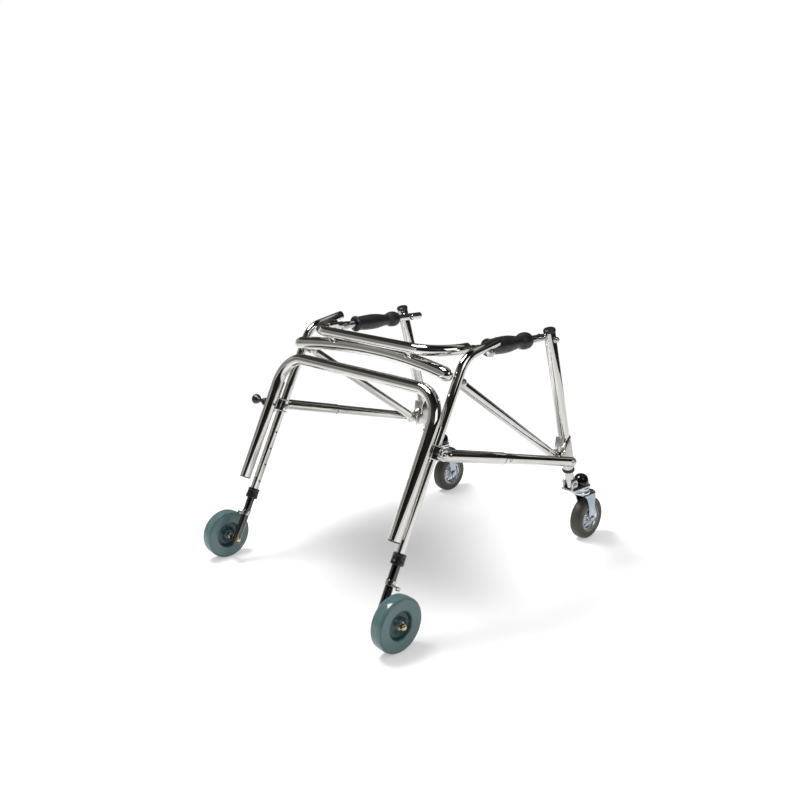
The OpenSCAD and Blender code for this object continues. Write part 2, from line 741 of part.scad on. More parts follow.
module dome_cap(d) {
    rotate_extrude() intersection() {
        square([d / 2, d / 4]);
        translate([0, d / 4 - cap_sphere(d)]) circle(r = cap_sphere(d));
    }
}
function cap_sphere(d) = (pow(d / 2, 2) + pow(d / 4, 2)) / (d / 2);

// Grip: flange, palm swell, waist and a round bulb at its front
swell_steps = 10;
waist_share = 0.74;
bulb_r = grip_bulb_d / 2;
flange_t = 6;
palm_start = flange_t;
palm_len = grip_len * waist_share - palm_start;
neck_d = (grip_waist_d + grip_swell_d) / 2;
function palm_r(t) = (t < 0.5 ? neck_d : grip_waist_d) / 2
    + (grip_swell_d - (t < 0.5 ? neck_d : grip_waist_d)) / 2 * pow(sin(180 * t), 1.5);
bulb_y = grip_len - bulb_r;
bulb_foot = bulb_y - sqrt(pow(bulb_r, 2) - pow(grip_waist_d / 2, 2));
module grip() color("black") on_rod() translate([0, 0, grip_offset]) difference() {
    union() {
        rotate_extrude() polygon(concat(
            [[0, 0], [grip_flange_d / 2, 0], [grip_flange_d / 2, flange_t]],
            [for (k = [0:swell_steps]) [palm_r(k / swell_steps), palm_start + palm_len * k / swell_steps]],
            [[grip_waist_d / 2, bulb_foot], [grip_waist_d / 2, bulb_y], [0, bulb_y]]));
        translate([0, 0, bulb_y]) sphere(r = bulb_r);
    }
    translate([0, 0, -over]) cylinder(h = grip_len + 2 * over, d = rod_d);
}

// Front post with its holes
post_len = (post_top_h - post_foot_h) / cos(post_lean);
module front_post() color("silver") difference() {
    on_post(post_foot_h) pipe(post_len, post_d, tube_wall);
    at(0, rod_pivot) along_x(post_x - post_d, post_x + post_d, bolt_d);
}

// Corner gusset: a sheet wrapped round the post, with two cheeks back to the pivot
cheek_face = post_d / 2 + gusset_gap + gusset_t;
module cheek_outline() {
    circle(r = gusset_eye_r);
    polygon([[0, -gusset_eye_r * neck_share], [gusset_reach, -gusset_drop],
             [gusset_reach + gusset_drop * tan(post_lean), -gusset_drop],
             [gusset_reach - gusset_rise * tan(post_lean), gusset_rise],
             [-gusset_eye_r * neck_share * sin(brace_rise + 90),
              gusset_eye_r * neck_share * cos(brace_rise + 90)]]);
}
module corner_gusset() color("silver") difference() {
    union() {
        for (place = [-1, 1]) at(post_x + place * (cheek_face - gusset_t / 2), front_pivot)
            rotate([90, 0, 90]) translate([0, 0, -gusset_t / 2]) linear_extrude(gusset_t) cheek_outline();
        on_post(rail_front_h) translate([0, 0, -gusset_drop])
            cylinder(h = gusset_drop + gusset_rise, d = post_d + 2 * gusset_wrap);
    }
    on_post(rail_front_h) translate([0, 0, -2 * gusset_rise]) cylinder(h = 4 * gusset_rise, d = post_d);
    at(0, front_pivot) along_x(post_x - 2 * post_d, post_x + 2 * post_d, bolt_d);
}

// Cap on top of a post and the bush at its lower end
module post_mouldings() color("black") {
    on_post(post_top_h) {
        translate([0, 0, -plug_depth]) pipe(plug_depth, post_d - 2 * tube_wall, plug_wall);
        cylinder(h = cap_rise / 2, d = cap_d);
        translate([0, 0, cap_rise / 2]) cylinder(h = cap_rise / 2, d1 = cap_d, d2 = cap_d - cap_rise);
    }
    on_post(post_foot_h) {
        pipe(bush_depth, post_d - 2 * tube_wall, (post_d - stem_d) / 2 - tube_wall - slide_gap);
        translate([0, 0, -bush_lip]) pipe(bush_lip, bush_d, (bush_d - stem_d) / 2 - slide_gap);
    }
}

// Bolts of the post: the handle rod's bolt and the pivot of the brace
module post_bolts() color("gainsboro") {
    at(0, rod_pivot) {
        along_x(post_x - post_d / 2, post_x + post_d / 2, bolt_d);
        dome_head(post_x + post_d / 2);
    }
    at(0, front_pivot) {
        along_x(post_x - cheek_face, post_x + cheek_face, bolt_d);
        along_x(post_x + cheek_face, post_x + cheek_face + bolt_head_h / 2, bolt_head_d);
        translate([post_x - cheek_face - bolt_head_h, 0, 0]) rotate([0, 90, 0])
            cylinder(h = bolt_head_h, d = bolt_head_d, $fn = 6);
    }
}

// Diagonal brace: a tube with a flat eye at each end and a vent hole on its inner side
module brace() color("silver") difference() {
    union() {
        on_line(brace_x, brace_pivot, brace_rise) {
            translate([0, 0, knuckle_tail]) pipe(brace_len - 2 * knuckle_tail, brace_d, tube_wall);
            for (z = [knuckle_tail, brace_len - knuckle_tail - end_plate]) translate([0, 0, z])
                cylinder(h = end_plate, d = brace_d - tube_wall);
            for (z = [0, brace_len - knuckle_tail - end_plate])
                translate([-brace_eye_w / 2, -brace_neck / 2, z])
                    cube([brace_eye_w, brace_neck, knuckle_tail + end_plate]);
        }
        for (p = [brace_pivot, front_pivot]) at(0, p)
            along_x(brace_x - brace_eye_w / 2, brace_x + brace_eye_w / 2, brace_eye_w);
    }
    for (p = [brace_pivot, front_pivot]) at(0, p)
        along_x(brace_x - brace_d, brace_x + brace_d, bolt_d + 2 * run_gap);
    on_line(brace_x, brace_pivot, brace_rise) translate([0, 0, brace_len * vent_share])
        along_x(-brace_d, 0, vent_d);
}

// Lower rail: the outer tube with its eye, and the inner tube that slides in it
rail_eye_share = 0.93;
rail_eye_d = rail_d * rail_eye_share;
inner_eye_d = rail_inner_d * rail_eye_share;
module on_rail() { on_line(rail_x, rail_pivot, rail_rise) children(); }
module eye(p, d) { at(0, p) along_x(rail_x - knuckle_w / 2, rail_x + knuckle_w / 2, d); }
module rail_outer() color("silver") difference() {
    union() {
        on_rail() {
            translate([0, 0, knuckle_tail]) pipe(rail_outer_len - knuckle_tail, rail_d, tube_wall);
            translate([0, 0, knuckle_tail]) cylinder(h = end_plate, d = rail_d - tube_wall);
            translate([-knuckle_neck / 2, -rail_eye_d * neck_share / 2, 0])
                cube([knuckle_neck, rail_eye_d * neck_share, knuckle_tail + end_plate / 2]);
        }
        eye(rail_pivot, rail_eye_d);
    }
    at(0, rail_pivot) along_x(rail_x - knuckle_w, rail_x + knuckle_w, bolt_d + 2 * run_gap);
}
rail_bore = rail_d - 2 * tube_wall;
inner_start = rail_outer_len - rail_hidden_len;
inner_end = rail_len - knuckle_tail;
guide_len = 12;
module rail_inner() color("silver") difference() {
    union() {
        on_rail() {
            translate([0, 0, inner_start + guide_len / 2])
                pipe(inner_end - inner_start - guide_len / 2, rail_inner_d, tube_wall);
            translate([0, 0, inner_start]) cylinder(h = guide_len, d = rail_bore - 2 * slide_gap);
            translate([0, 0, inner_end - end_plate]) cylinder(h = end_plate, d = rail_inner_d - tube_wall);
            translate([-knuckle_neck / 2, -inner_eye_d * neck_share / 2, inner_end - end_plate / 2])
                cube([knuckle_neck, inner_eye_d * neck_share, knuckle_tail + end_plate / 2]);
        }
        eye(front_pivot, inner_eye_d);
        at(0, front_pivot) {
            along_x(post_x + cheek_face + bolt_head_h / 2 + face_gap, rail_x, shoulder_d);
            dome_head(rail_x + knuckle_w / 2);
        }
    }
    on_button() cylinder(h = rail_inner_d, d = button_d + 2 * slide_gap);
}

// Lock button: a dome on the inner rail, just past the mouth of the outer rail
button_sphere = (pow(button_d / 2, 2) + pow(button_rise, 2)) / (2 * button_rise);
button_depth = 5;
module on_button() {
    on_rail() translate([0, 0, rail_outer_len + button_gap]) rotate([0, 90, 0]) children();
}
module rail_button() color("gainsboro") on_button() {
    translate([0, 0, rail_inner_d / 2 - button_depth]) cylinder(h = button_depth, d = button_d);
    translate([0, 0, rail_inner_d / 2]) rotate_extrude() intersection() {
        square([button_d / 2, button_rise]);
        translate([0, button_rise - button_sphere]) circle(r = button_sphere);
    }
}

// Caster stem: slides in the post and stands on the caster arm
stem_foot = arm_h + stem_lift;
stem_len = (post_foot_h - stem_foot) / cos(post_lean) + stem_hidden_len;
stem_bolt = [post_y(arm_h + stem_bolt_rise), arm_h + stem_bolt_rise];
module caster_stem() color("silver") difference() {
    on_post(stem_foot) pipe(stem_len, stem_d, tube_wall);
    at(0, stem_bolt) along_x(post_x - stem_d, post_x + stem_d, bolt_d);
}

// Caster arm: two ears bolted to the stem and a plate forward to the kingpin
arm_back = post_y(arm_h) - arm_tail;
module caster_arm() color("gainsboro") {
    difference() {
        union() {
            translate([post_x - arm_w / 2, arm_back, arm_h - arm_t])
                cube([arm_w, swivel_y - arm_back, arm_t]);
            translate([post_x, swivel_y, arm_h - arm_t]) cylinder(h = arm_t, d = arm_w);
            for (place = [-1, 1]) translate([post_x + place * (stem_d + ear_t) / 2 - ear_t / 2, 0, arm_h])
                translate([0, stem_bolt[0] - ear_w / 2, 0]) cube([ear_t, ear_w, ear_rise]);
        }
        translate([post_x, swivel_y, 0]) cylinder(h = arm_h + over, d = kingpin_d + 2 * run_gap);
        at(0, stem_bolt) along_x(post_x - 2 * stem_d, post_x + 2 * stem_d, bolt_d);
    }
    at(0, stem_bolt) bolt(post_x - stem_d / 2 - ear_t, post_x + stem_d / 2 + ear_t);
}

// Dome over the kingpin
module caster_dome() color("black") translate([post_x, swivel_y, arm_h]) rotate_extrude() difference() {
    dome_outline(dome_d / 2, dome_rise);
    dome_outline(dome_d / 2 - dome_wall, dome_rise - dome_wall);
}
module dome_outline(r, h) {
    intersection() {
        square([r, h]);
        union() {
            square([r, h - r]);
            translate([0, h - r]) circle(r = r);
        }
    }
}

// Caster fork: kingpin, bearing race, crown and two legs down to the axle
module fork_outline() {
    hull() {
        translate([swivel_y - fork_rear, crown_h - fork_t]) square([fork_rear + fork_front, fork_t]);
        translate([caster_axle_y, caster_r]) circle(r = fork_eye_r, $fn = 32);
    }
}
module caster_fork() color("lightsteelblue") difference() {
    union() {
        translate([post_x, swivel_y, crown_h - fork_t]) {
            cylinder(h = fork_t, d = crown_d);
            cylinder(h = arm_h - arm_t - face_gap - crown_h + fork_t, d = race_d);
            cylinder(h = arm_h - crown_h + fork_t + kingpin_head, d = kingpin_d);
        }
        translate([post_x - fork_gap / 2 - fork_t, swivel_y - fork_rear, crown_h - fork_t])
            cube([fork_gap + 2 * fork_t, fork_rear + fork_front, fork_t]);
        translate([post_x, swivel_y, arm_h + face_gap])
            cylinder(h = kingpin_head, d = kingpin_nut_d, $fn = 6);
        for (place = [-1, 1]) translate([post_x + place * (fork_gap + fork_t) / 2 - fork_t / 2, 0, 0])
            rotate([90, 0, 90]) linear_extrude(fork_t) fork_outline();
    }
    at(0, [caster_axle_y, caster_r]) along_x(post_x - fork_gap, post_x + fork_gap, caster_axle_d);
}

// Caster wheel: a rubber tyre on a steel rim
module on_caster_axle() { at(post_x, [caster_axle_y, caster_r]) rotate([0, 90, 0]) children(); }
module caster_tyre() color("dimgray") on_caster_axle() rotate_extrude() union() {
    translate([rim_d / 2, -caster_wheel_w / 2]) square([caster_r - tyre_edge_r - rim_d / 2, caster_wheel_w]);
    translate([rim_d / 2, tyre_edge_r - caster_wheel_w / 2])
        square([caster_r - rim_d / 2, caster_wheel_w - 2 * tyre_edge_r]);
    for (place = [-1, 1]) translate([caster_r - tyre_edge_r, place * (caster_wheel_w / 2 - tyre_edge_r)])
        circle(r = tyre_edge_r);
}
module caster_rim() color("lightsteelblue") on_caster_axle() difference() {
    union() {
        translate([0, 0, -rim_disc]) cylinder(h = 2 * rim_disc, d = rim_d);
        for (place = [-1, 1]) translate([0, 0, place * (caster_wheel_w - rim_bead) / 2 - rim_bead / 2])
            difference() {
                cylinder(h = rim_bead, d = rim_d);
                translate([0, 0, -over]) cylinder(h = rim_bead + 2 * over, d = rim_d - 2 * rim_bead);
            }
        translate([0, 0, -caster_wheel_w / 2]) pipe(caster_wheel_w, rim_d, rim_bead / 2);
        translate([0, 0, face_gap - fork_gap / 2]) cylinder(h = fork_gap - 2 * face_gap, d = rim_boss_d);
    }
    translate([0, 0, -fork_gap]) cylinder(h = 2 * fork_gap, d = caster_axle_d + 2 * run_gap);
}
module caster_axle() color("gainsboro") at(0, [caster_axle_y, caster_r]) {
    along_x(post_x - fork_gap / 2 - fork_t, post_x + fork_gap / 2 + fork_t, caster_axle_d);
    translate([post_x - fork_gap / 2 - fork_t - bolt_head_h, 0, 0]) rotate([0, 90, 0])
        cylinder(h = bolt_head_h, d = bolt_head_d, $fn = 6);
    dome_head(post_x + fork_gap / 2 + fork_t);
}

rear_frame();
left() side_tube();  // left_side_tube
side_tube();  // right_side_tube
lower_back_bar();
upper_back_bar();
bar_links();
left() hinge_bracket();  // left_hinge_bracket
hinge_bracket();  // right_hinge_bracket
hinge_blocks();
hinge_pins();
tube_plugs();
frame_bolts();
pull_pin_bush();
pull_pin_knob();
left() leg_collar();  // left_leg_collar
leg_collar();  // right_leg_collar
left() inner_leg();  // left_inner_leg
inner_leg();  // right_inner_leg
left() rear_axle();  // left_rear_axle
rear_axle();  // right_rear_axle
left() roll_stop();  // left_roll_stop
roll_stop();  // right_roll_stop
left() rear_tyre();  // left_rear_tyre
rear_tyre();  // right_rear_tyre
left() rear_hub();  // left_rear_hub
rear_hub();  // right_rear_hub
left() handle_rod();  // left_handle_rod
handle_rod();  // right_handle_rod
left() grip();  // left_grip
grip();  // right_grip
left() front_post();  // left_front_post
front_post();  // right_front_post
left() corner_gusset();  // left_corner_gusset
corner_gusset();  // right_corner_gusset
left() post_mouldings();  // left_post_mouldings
post_mouldings();  // right_post_mouldings
left() post_bolts();  // left_post_bolts
post_bolts();  // right_post_bolts
left() brace();  // left_brace
brace();  // right_brace
left() rail_outer();  // left_rail_outer
rail_outer();  // right_rail_outer
left() rail_inner();  // left_rail_inner
rail_inner();  // right_rail_inner
left() rail_button();  // left_rail_button
rail_button();  // right_rail_button
left() caster_stem();  // left_caster_stem
caster_stem();  // right_caster_stem
left() caster_arm();  // left_caster_arm
caster_arm();  // right_caster_arm
left() caster_dome();  // left_caster_dome
caster_dome();  // right_caster_dome
left() caster_fork();  // left_caster_fork
caster_fork();  // right_caster_fork
left() caster_tyre();  // left_caster_tyre
caster_tyre();  // right_caster_tyre
left() caster_rim();  // left_caster_rim
caster_rim();  // right_caster_rim
left() caster_axle();  // left_caster_axle
caster_axle();  // right_caster_axle
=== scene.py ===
import bpy
import bmesh
from math import atan2, cos, degrees, hypot, pi, radians, sin, sqrt, tan
from mathutils import Matrix, Vector


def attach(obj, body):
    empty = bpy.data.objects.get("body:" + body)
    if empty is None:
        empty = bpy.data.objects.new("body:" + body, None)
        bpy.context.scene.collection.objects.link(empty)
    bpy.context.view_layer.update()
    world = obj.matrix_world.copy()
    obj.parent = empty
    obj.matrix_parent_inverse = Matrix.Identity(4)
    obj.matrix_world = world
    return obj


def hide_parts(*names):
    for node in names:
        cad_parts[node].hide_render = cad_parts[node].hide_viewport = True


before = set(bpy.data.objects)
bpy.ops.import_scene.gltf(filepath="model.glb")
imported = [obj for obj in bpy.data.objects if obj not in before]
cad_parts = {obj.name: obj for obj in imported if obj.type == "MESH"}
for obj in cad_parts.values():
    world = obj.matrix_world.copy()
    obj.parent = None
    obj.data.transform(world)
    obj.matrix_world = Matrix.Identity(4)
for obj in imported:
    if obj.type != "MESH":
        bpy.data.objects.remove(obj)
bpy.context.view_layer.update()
print("frame loaded:", len(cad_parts), "nodes")

# lengths below are millimetres, X right, Y walking direction, Z up; points in the side view are (y, z)
stance = {
    "rearAxle": (-391.905, 62.5), "rearLean": 26.0, "tubePitch": 36.8,
    "stemFoot": (315.905, 164.0), "postLean": 16.2,
    "rearX": 280.0, "sideX": 275.0, "postX": 260.0, "braceX": 262.0,
    "railX": 303.0, "handleX": 234.0, "wheelX": 327.0,
    "swivelY": 360.905, "casterAxle": (395.405, 59.0),
    "gripPivot": (-53.212, 587.47), "bracePivot": (-140.525, 530.0),
    "railPivot": (-231.685, 391.0), "rodPivot": (193.738, 584.5), "frontPivot": (242.271, 266.0),
}
rearLean, postLean = stance["rearLean"], stance["postLean"]
rearX, sideX, postX, handleX = stance["rearX"], stance["sideX"], stance["postX"], stance["handleX"]
railX, braceX, wheelX = stance["railX"], stance["braceX"], stance["wheelX"]
gripPivot, bracePivot, railPivot = stance["gripPivot"], stance["bracePivot"], stance["railPivot"]
rodPivot, frontPivot = stance["rodPivot"], stance["frontPivot"]
axle, axleZ = stance["rearAxle"], stance["rearAxle"][1]
swivelY, casterAxle = stance["swivelY"], stance["casterAxle"]


def legPoint(z):
    y0, z0 = axle
    return (y0 + (z - z0) * tan(radians(rearLean)), z)


def rearPoint(z):
    return (legPoint(z)[0] - stance["tubePitch"] / cos(radians(rearLean)), z)


def postPoint(z):
    y0, z0 = stance["stemFoot"]
    return (y0 - (z - z0) * tan(radians(postLean)), z)


def rise(p, q):
    return degrees(atan2(q[1] - p[1], q[0] - p[0]))


def span(p, q):
    return hypot(q[0] - p[0], q[1] - p[1])


# places: local Z runs along a line in the side view, or along X
def moved(x, y, z):
    return Matrix.Translation((x, y, z))


def turned(angle, axis):
    return Matrix.Rotation(radians(angle), 4, axis)


def onLine(x, p, angle):
    return moved(x, *p) @ turned(angle - 90, "X")


def alongX(x, p):
    return moved(x, *p) @ turned(90, "Y")


def onLeg(x, z):
    return onLine(x, legPoint(z), 90 - rearLean)


def onPost(z):
    return onLine(postX, postPoint(z), 90 + postLean)


# turns a plate drawn in local XY into the side view
sideways = Matrix(((0, 0, 1, 0), (1, 0, 0, 0), (0, 1, 0, 0), (0, 0, 0, 1)))
legUp = Vector((0, sin(radians(rearLean)), cos(radians(rearLean))))
postUp = Vector((0, -sin(radians(postLean)), cos(radians(postLean))))
weldGap = 0.005


# modelling helpers
def vertsOf(grown):
    return [g for g in grown if isinstance(g, bmesh.types.BMVert)]


def edgesOf(grown):
    return [g for g in grown if isinstance(g, bmesh.types.BMEdge)]


def closeUp(bm):
    bmesh.ops.remove_doubles(bm, verts=bm.verts, dist=weldGap)
    bmesh.ops.recalc_face_normals(bm, faces=bm.faces)
    return bm


def place(bm, matrix):
    bmesh.ops.transform(bm, matrix=matrix, verts=bm.verts)
    return bm


def setAcross(bm, x, p):
    return place(bm, alongX(x, p))


def shift(bm, x, y, z):
    bmesh.ops.translate(bm, verts=bm.verts, vec=(x, y, z))
    return bm


def join(*shapes):
    whole = bmesh.new()
    for shape in shapes:
        part = bpy.data.meshes.new("part")
        shape.to_mesh(part)
        shape.free()
        whole.from_mesh(part)
        bpy.data.meshes.remove(part)
    return whole


def mirrored(bm):
    other = bm.copy()
    bmesh.ops.scale(other, vec=(-1, 1, 1), verts=other.verts)
    bmesh.ops.reverse_faces(other, faces=other.faces)
    return other


def bothSides(bm):
    return join(bm, mirrored(bm))


def roundEdges(bm, edges, width, segments):
    bmesh.ops.bevel(bm, geom=edges, offset=width, offset_type="OFFSET", segments=segments,
                    profile=0.5, affect="EDGES", clamp_overlap=True, material=-1)


def soften(bm, width, segments=2, angle=35):
    sharp = [e for e in bm.edges if e.is_manifold and e.calc_face_angle(0) > radians(angle)]
    roundEdges(bm, sharp, width, segments)
    return bm


# a chain of edges whose corners are rounded, each corner given as (a, b) or (a, b, rounding)
def chain(bm, corners, spot):
    verts = [bm.verts.new(spot(c[0], c[1])) for c in corners]
    for a, b in zip(verts, verts[1:]):
        bm.edges.new((a, b))
    for vert, c in zip(verts, corners):
        if len(c) > 2:
            bmesh.ops.bevel(bm, geom=[vert], offset=c[2], offset_type="OFFSET", segments=5,
                            profile=0.5, affect="VERTICES", material=-1)


# a closed outline, filled with one face
def outlineFace(corners, spot):
    bm = bmesh.new()
    chain(bm, list(corners) + [corners[0][:2]], spot)
    bmesh.ops.remove_doubles(bm, verts=bm.verts, dist=weldGap)
    bmesh.ops.contextual_create(bm, geom=bm.edges[:])
    return bm


# the other half of a turned profile, with its heights made negative and drawn out by more
def flipped(corners, more=0):
    return [(c[0], -c[1] - more) + c[2:] for c in corners]


# a turned shape about local Z from (radius, height) corners
def lathe(corners, steps=64, ring=False):
    bm = bmesh.new()
    corners = list(corners) + ([corners[0][:2]] if ring else [])
    chain(bm, corners, lambda r, z: (r, 0, z))
    bmesh.ops.spin(bm, geom=bm.verts[:] + bm.edges[:], cent=(0, 0, 0), axis=(0, 0, 1),
                   dvec=(0, 0, 0), angle=2 * pi, steps=steps, use_merge=True)
    return closeUp(bm)


# half a turn of a closed outline about local Z
def halfSleeve(corners, spot):
    bm = outlineFace(corners, spot)
    bmesh.ops.spin(bm, geom=bm.verts[:] + bm.edges[:] + bm.faces[:], cent=(0, 0, 0), axis=(0, 0, 1),
                   dvec=(0, 0, 0), angle=pi, steps=32)
    return bm


# a flat plate in local XY, extruded along Z
def plate(corners, thickness, edge=0.5, segments=2):
    bm = outlineFace(corners, lambda a, b: (a, b, 0))
    grown = bmesh.ops.extrude_face_region(bm, geom=bm.faces[:])["geom"]
    bmesh.ops.translate(bm, verts=vertsOf(grown), vec=(0, 0, thickness))
    return soften(closeUp(bm), edge, segments, 60)


# a plate that lies in the side view, its corners measured from a point there
def sidePlate(corners, xFrom, thickness, edge, p):
    return place(plate(corners, thickness, edge), moved(xFrom, *p) @ sideways)


def disc(radius, height, edge=0.5, steps=48):
    return lathe([(0, 0), (radius, 0, edge), (radius, height, edge), (0, height)], steps)


# an end face with a wall and a bore
def boreEnd(bm, face, wall, depth):
    bmesh.ops.inset_individual(bm, faces=[face], thickness=wall, use_even_offset=True)
    bore = bmesh.ops.extrude_discrete_faces(bm, faces=[face])["faces"][0]
    bmesh.ops.translate(bm, verts=bore.verts[:], vec=depth)


# a tube drawn along runs and turns: (length) or (bend radius, degrees, direction of the bend's centre)
def tube(radius, start, heading, moves, wall=1.2, mouth=14, steps=56, edge=0.4, dome=()):
    bm = bmesh.new()
    spot, heading = Vector(start), Vector(heading).normalized()
    turnTo = heading.to_track_quat("Z", "Y").to_matrix().to_4x4()
    bmesh.ops.create_circle(bm, cap_ends=False, radius=radius, segments=steps,
                            matrix=Matrix.Translation(spot) @ turnTo)
    ring = bm.edges[:]
    ends = [(ring, -heading)]
    for move in moves:
        if len(move) == 1:
            grown = bmesh.ops.extrude_edge_only(bm, edges=ring)["geom"]
            bmesh.ops.translate(bm, verts=vertsOf(grown), vec=heading * move[0])
            spot = spot + heading * move[0]
        else:
            bend, angle, towards = move[0], radians(move[1]), Vector(move[2]).normalized()
            axis, centre = heading.cross(towards), spot + towards * bend
            verts = list({v for e in ring for v in e.verts})
            turnSteps = max(6, int(move[1] / 3), int(bend * angle / 14))
            grown = bmesh.ops.spin(bm, geom=verts + ring, cent=centre, axis=axis, dvec=(0, 0, 0),
                                   angle=angle, steps=turnSteps)["geom_last"]
            swing = Matrix.Rotation(angle, 3, axis)
            spot, heading = centre + swing @ (spot - centre), swing @ heading
        ring = [e for e in edgesOf(grown) if all(abs((v.co - spot).dot(heading)) < 0.05 for v in e.verts)]
    ends.append((ring, heading))
    for edges, outwards in ends:  # each end is domed, or has a wall and a short bore
        face = bmesh.ops.contextual_create(bm, geom=edges)["faces"][0]
        face.normal_update()
        if face.normal.dot(outwards) < 0:
            face.normal_flip()
        for inset, depth in dome:
            bmesh.ops.inset_individual(bm, faces=[face], thickness=inset, depth=depth, use_even_offset=True)
        if not dome:
            boreEnd(bm, face, wall, outwards * -mouth)
    closeUp(bm)
    return soften(bm, edge, 2, 60)


# a tube along local Z from low to high, flattened towards round eyes at these heights;
# with a bore its upper end stays round and open
def eyeBar(radius, low, high, eyes, eyeRadius, eyeWidth, bore=0):
    flattening = ((2.5, 0.93, 0.97), (5.5, 0.75, 0.88), (8.0, 0.9, 0.93), (6.0, 1, 1))  # along, wide, tall
    bm = bmesh.new()
    bmesh.ops.create_circle(bm, cap_ends=False, radius=radius, segments=56, matrix=moved(0, 0, low))
    first = bm.edges[:]
    grown = bmesh.ops.extrude_edge_only(bm, edges=first)["geom"]
    last = edgesOf(grown)
    bmesh.ops.translate(bm, verts=vertsOf(grown), vec=(0, 0, high - low))
    for edges, outwards in ((first, -1), (last, 1)):
        if bore and outwards > 0:
            boreEnd(bm, bmesh.ops.contextual_create(bm, geom=edges)["faces"][0], 1.2, (0, 0, -bore))
            continue
        for along, wide, tall in flattening:
            grown = bmesh.ops.extrude_edge_only(bm, edges=edges)["geom"]
            verts = vertsOf(grown)
            edges = [e for e in edgesOf(grown) if all(v in verts for v in e.verts)]
            bmesh.ops.translate(bm, verts=verts, vec=(0, 0, along * outwards))
            bmesh.ops.scale(bm, vec=(wide, tall, 1), verts=verts)
        bmesh.ops.contextual_create(bm, geom=edges)
    closeUp(bm)
    half, boltBore = eyeWidth / 2, 4.1
    eyeLine = [(boltBore, -half), (eyeRadius, -half, 0.9), (eyeRadius, half, 0.9), (boltBore, half)]
    return join(bm, *[place(lathe(eyeLine, 48, True), moved(0, 0, z) @ turned(90, "Y")) for z in eyes])


# lays a small flat piece on a round bar that runs along local X
def layOn(bm, radius):
    for vert in bm.verts:
        bmesh.ops.translate(bm, verts=[vert], vec=(0, 0, sqrt(radius ** 2 - vert.co.y ** 2) - radius))
    return bm


def hexagon(radius, height):
    bm = bmesh.new()
    bmesh.ops.create_cone(bm, cap_ends=True, segments=6, radius1=radius, radius2=radius, depth=height)
    shift(bm, 0, 0, height / 2)
    upright = [e for e in bm.edges if abs(e.verts[0].co.z - e.verts[1].co.z) > height / 2]
    roundEdges(bm, upright, 0.5, 1)
    return soften(bm, 0.6, 2, 50)


def roundHead(radius, height):
    return lathe([(0, 0), (radius, 0), (radius * 0.97, height * 0.3, 0.4),
                  (radius * 0.72, height * 0.8, 1.2), (0, height)], 40)


def washer(radius, bore, height):
    return lathe([(bore, 0), (radius, 0, 0.3), (radius, height, 0.3), (bore, height)], 40, True)


bolt = {"shank": 4, "head": 7.5, "rise": 5, "stub": 1.6, "thread": 3.7, "washer": 1.0}


# a bolt along X: a nut with a stub of thread at its inner end, a round head at its outer end
def crossBolt(p, xFrom, xTo):
    stubLine = [(0, 0), (bolt["thread"] - 0.5, 0), (bolt["thread"], 0.6),
                (bolt["thread"], bolt["stub"] + 1), (0, bolt["stub"] + 1)]
    return join(setAcross(disc(bolt["shank"], xTo - xFrom, 0.2, 32), xFrom, p),
                setAcross(washer(bolt["head"], bolt["shank"], bolt["washer"]), xTo - 0.2, p),
                setAcross(roundHead(bolt["head"] * 0.93, bolt["rise"] - 0.9), xTo + 0.8, p),
                setAcross(hexagon(bolt["head"], bolt["rise"]), xFrom - bolt["rise"], p),
                setAcross(lathe(stubLine, 24), xFrom - bolt["rise"] - bolt["stub"], p))


# materials
def material(name, colour, roughness, metallic=0.0):
    mat = bpy.data.materials.new(name)
    mat.use_nodes = True
    shader = mat.node_tree.nodes["Principled BSDF"]
    shader.inputs["Base Color"].default_value = (*colour, 1)
    shader.inputs["Metallic"].default_value = metallic
    shader.inputs["Roughness"].default_value = roughness
    mat.diffuse_color = (*colour, 1)
    return mat, mat.node_tree, shader


def link(tree, fromNode, fromSocket, toNode, toSocket):
    tree.links.new(fromNode.outputs[fromSocket], toNode.inputs[toSocket])


def objectPoint(tree, scale=(1, 1, 1), turn=(0, 0, 0)):
    coords = tree.nodes.new("ShaderNodeTexCoord")
    mapping = tree.nodes.new("ShaderNodeMapping")
    mapping.inputs["Scale"].default_value = scale
    mapping.inputs["Rotation"].default_value = turn
    link(tree, coords, "Object", mapping, "Vector")
    return mapping


def cloud(tree, where, scale, detail=4.0, roughness=0.55):
    noise = tree.nodes.new("ShaderNodeTexNoise")
    noise.inputs["Scale"].default_value = scale
    noise.inputs["Detail"].default_value = detail
    noise.inputs["Roughness"].default_value = roughness
    link(tree, where, "Vector", noise, "Vector")
    return noise


def spread(tree, source, socket, low, high, fromLow=0.3, fromHigh=0.7):
    node = tree.nodes.new("ShaderNodeMapRange")
    for key, value in (("From Min", fromLow), ("From Max", fromHigh), ("To Min", low), ("To Max", high)):
        node.inputs[key].default_value = value
    link(tree, source, socket, node, "Value")
    return node


def tints(tree, source, socket, stops):
    ramp = tree.nodes.new("ShaderNodeValToRGB")
    for mark, (stop, colour) in zip(ramp.color_ramp.elements, stops):
        mark.position, mark.color = stop, (*colour, 1)
    link(tree, source, socket, ramp, "Fac")
    return ramp


def bumpy(tree, shader, source, socket, strength, distance):
    bump = tree.nodes.new("ShaderNodeBump")
    bump.inputs["Strength"].default_value = strength
    bump.inputs["Distance"].default_value = distance
    link(tree, source, socket, bump, "Height")
    link(tree, bump, "Normal", shader, "Normal")


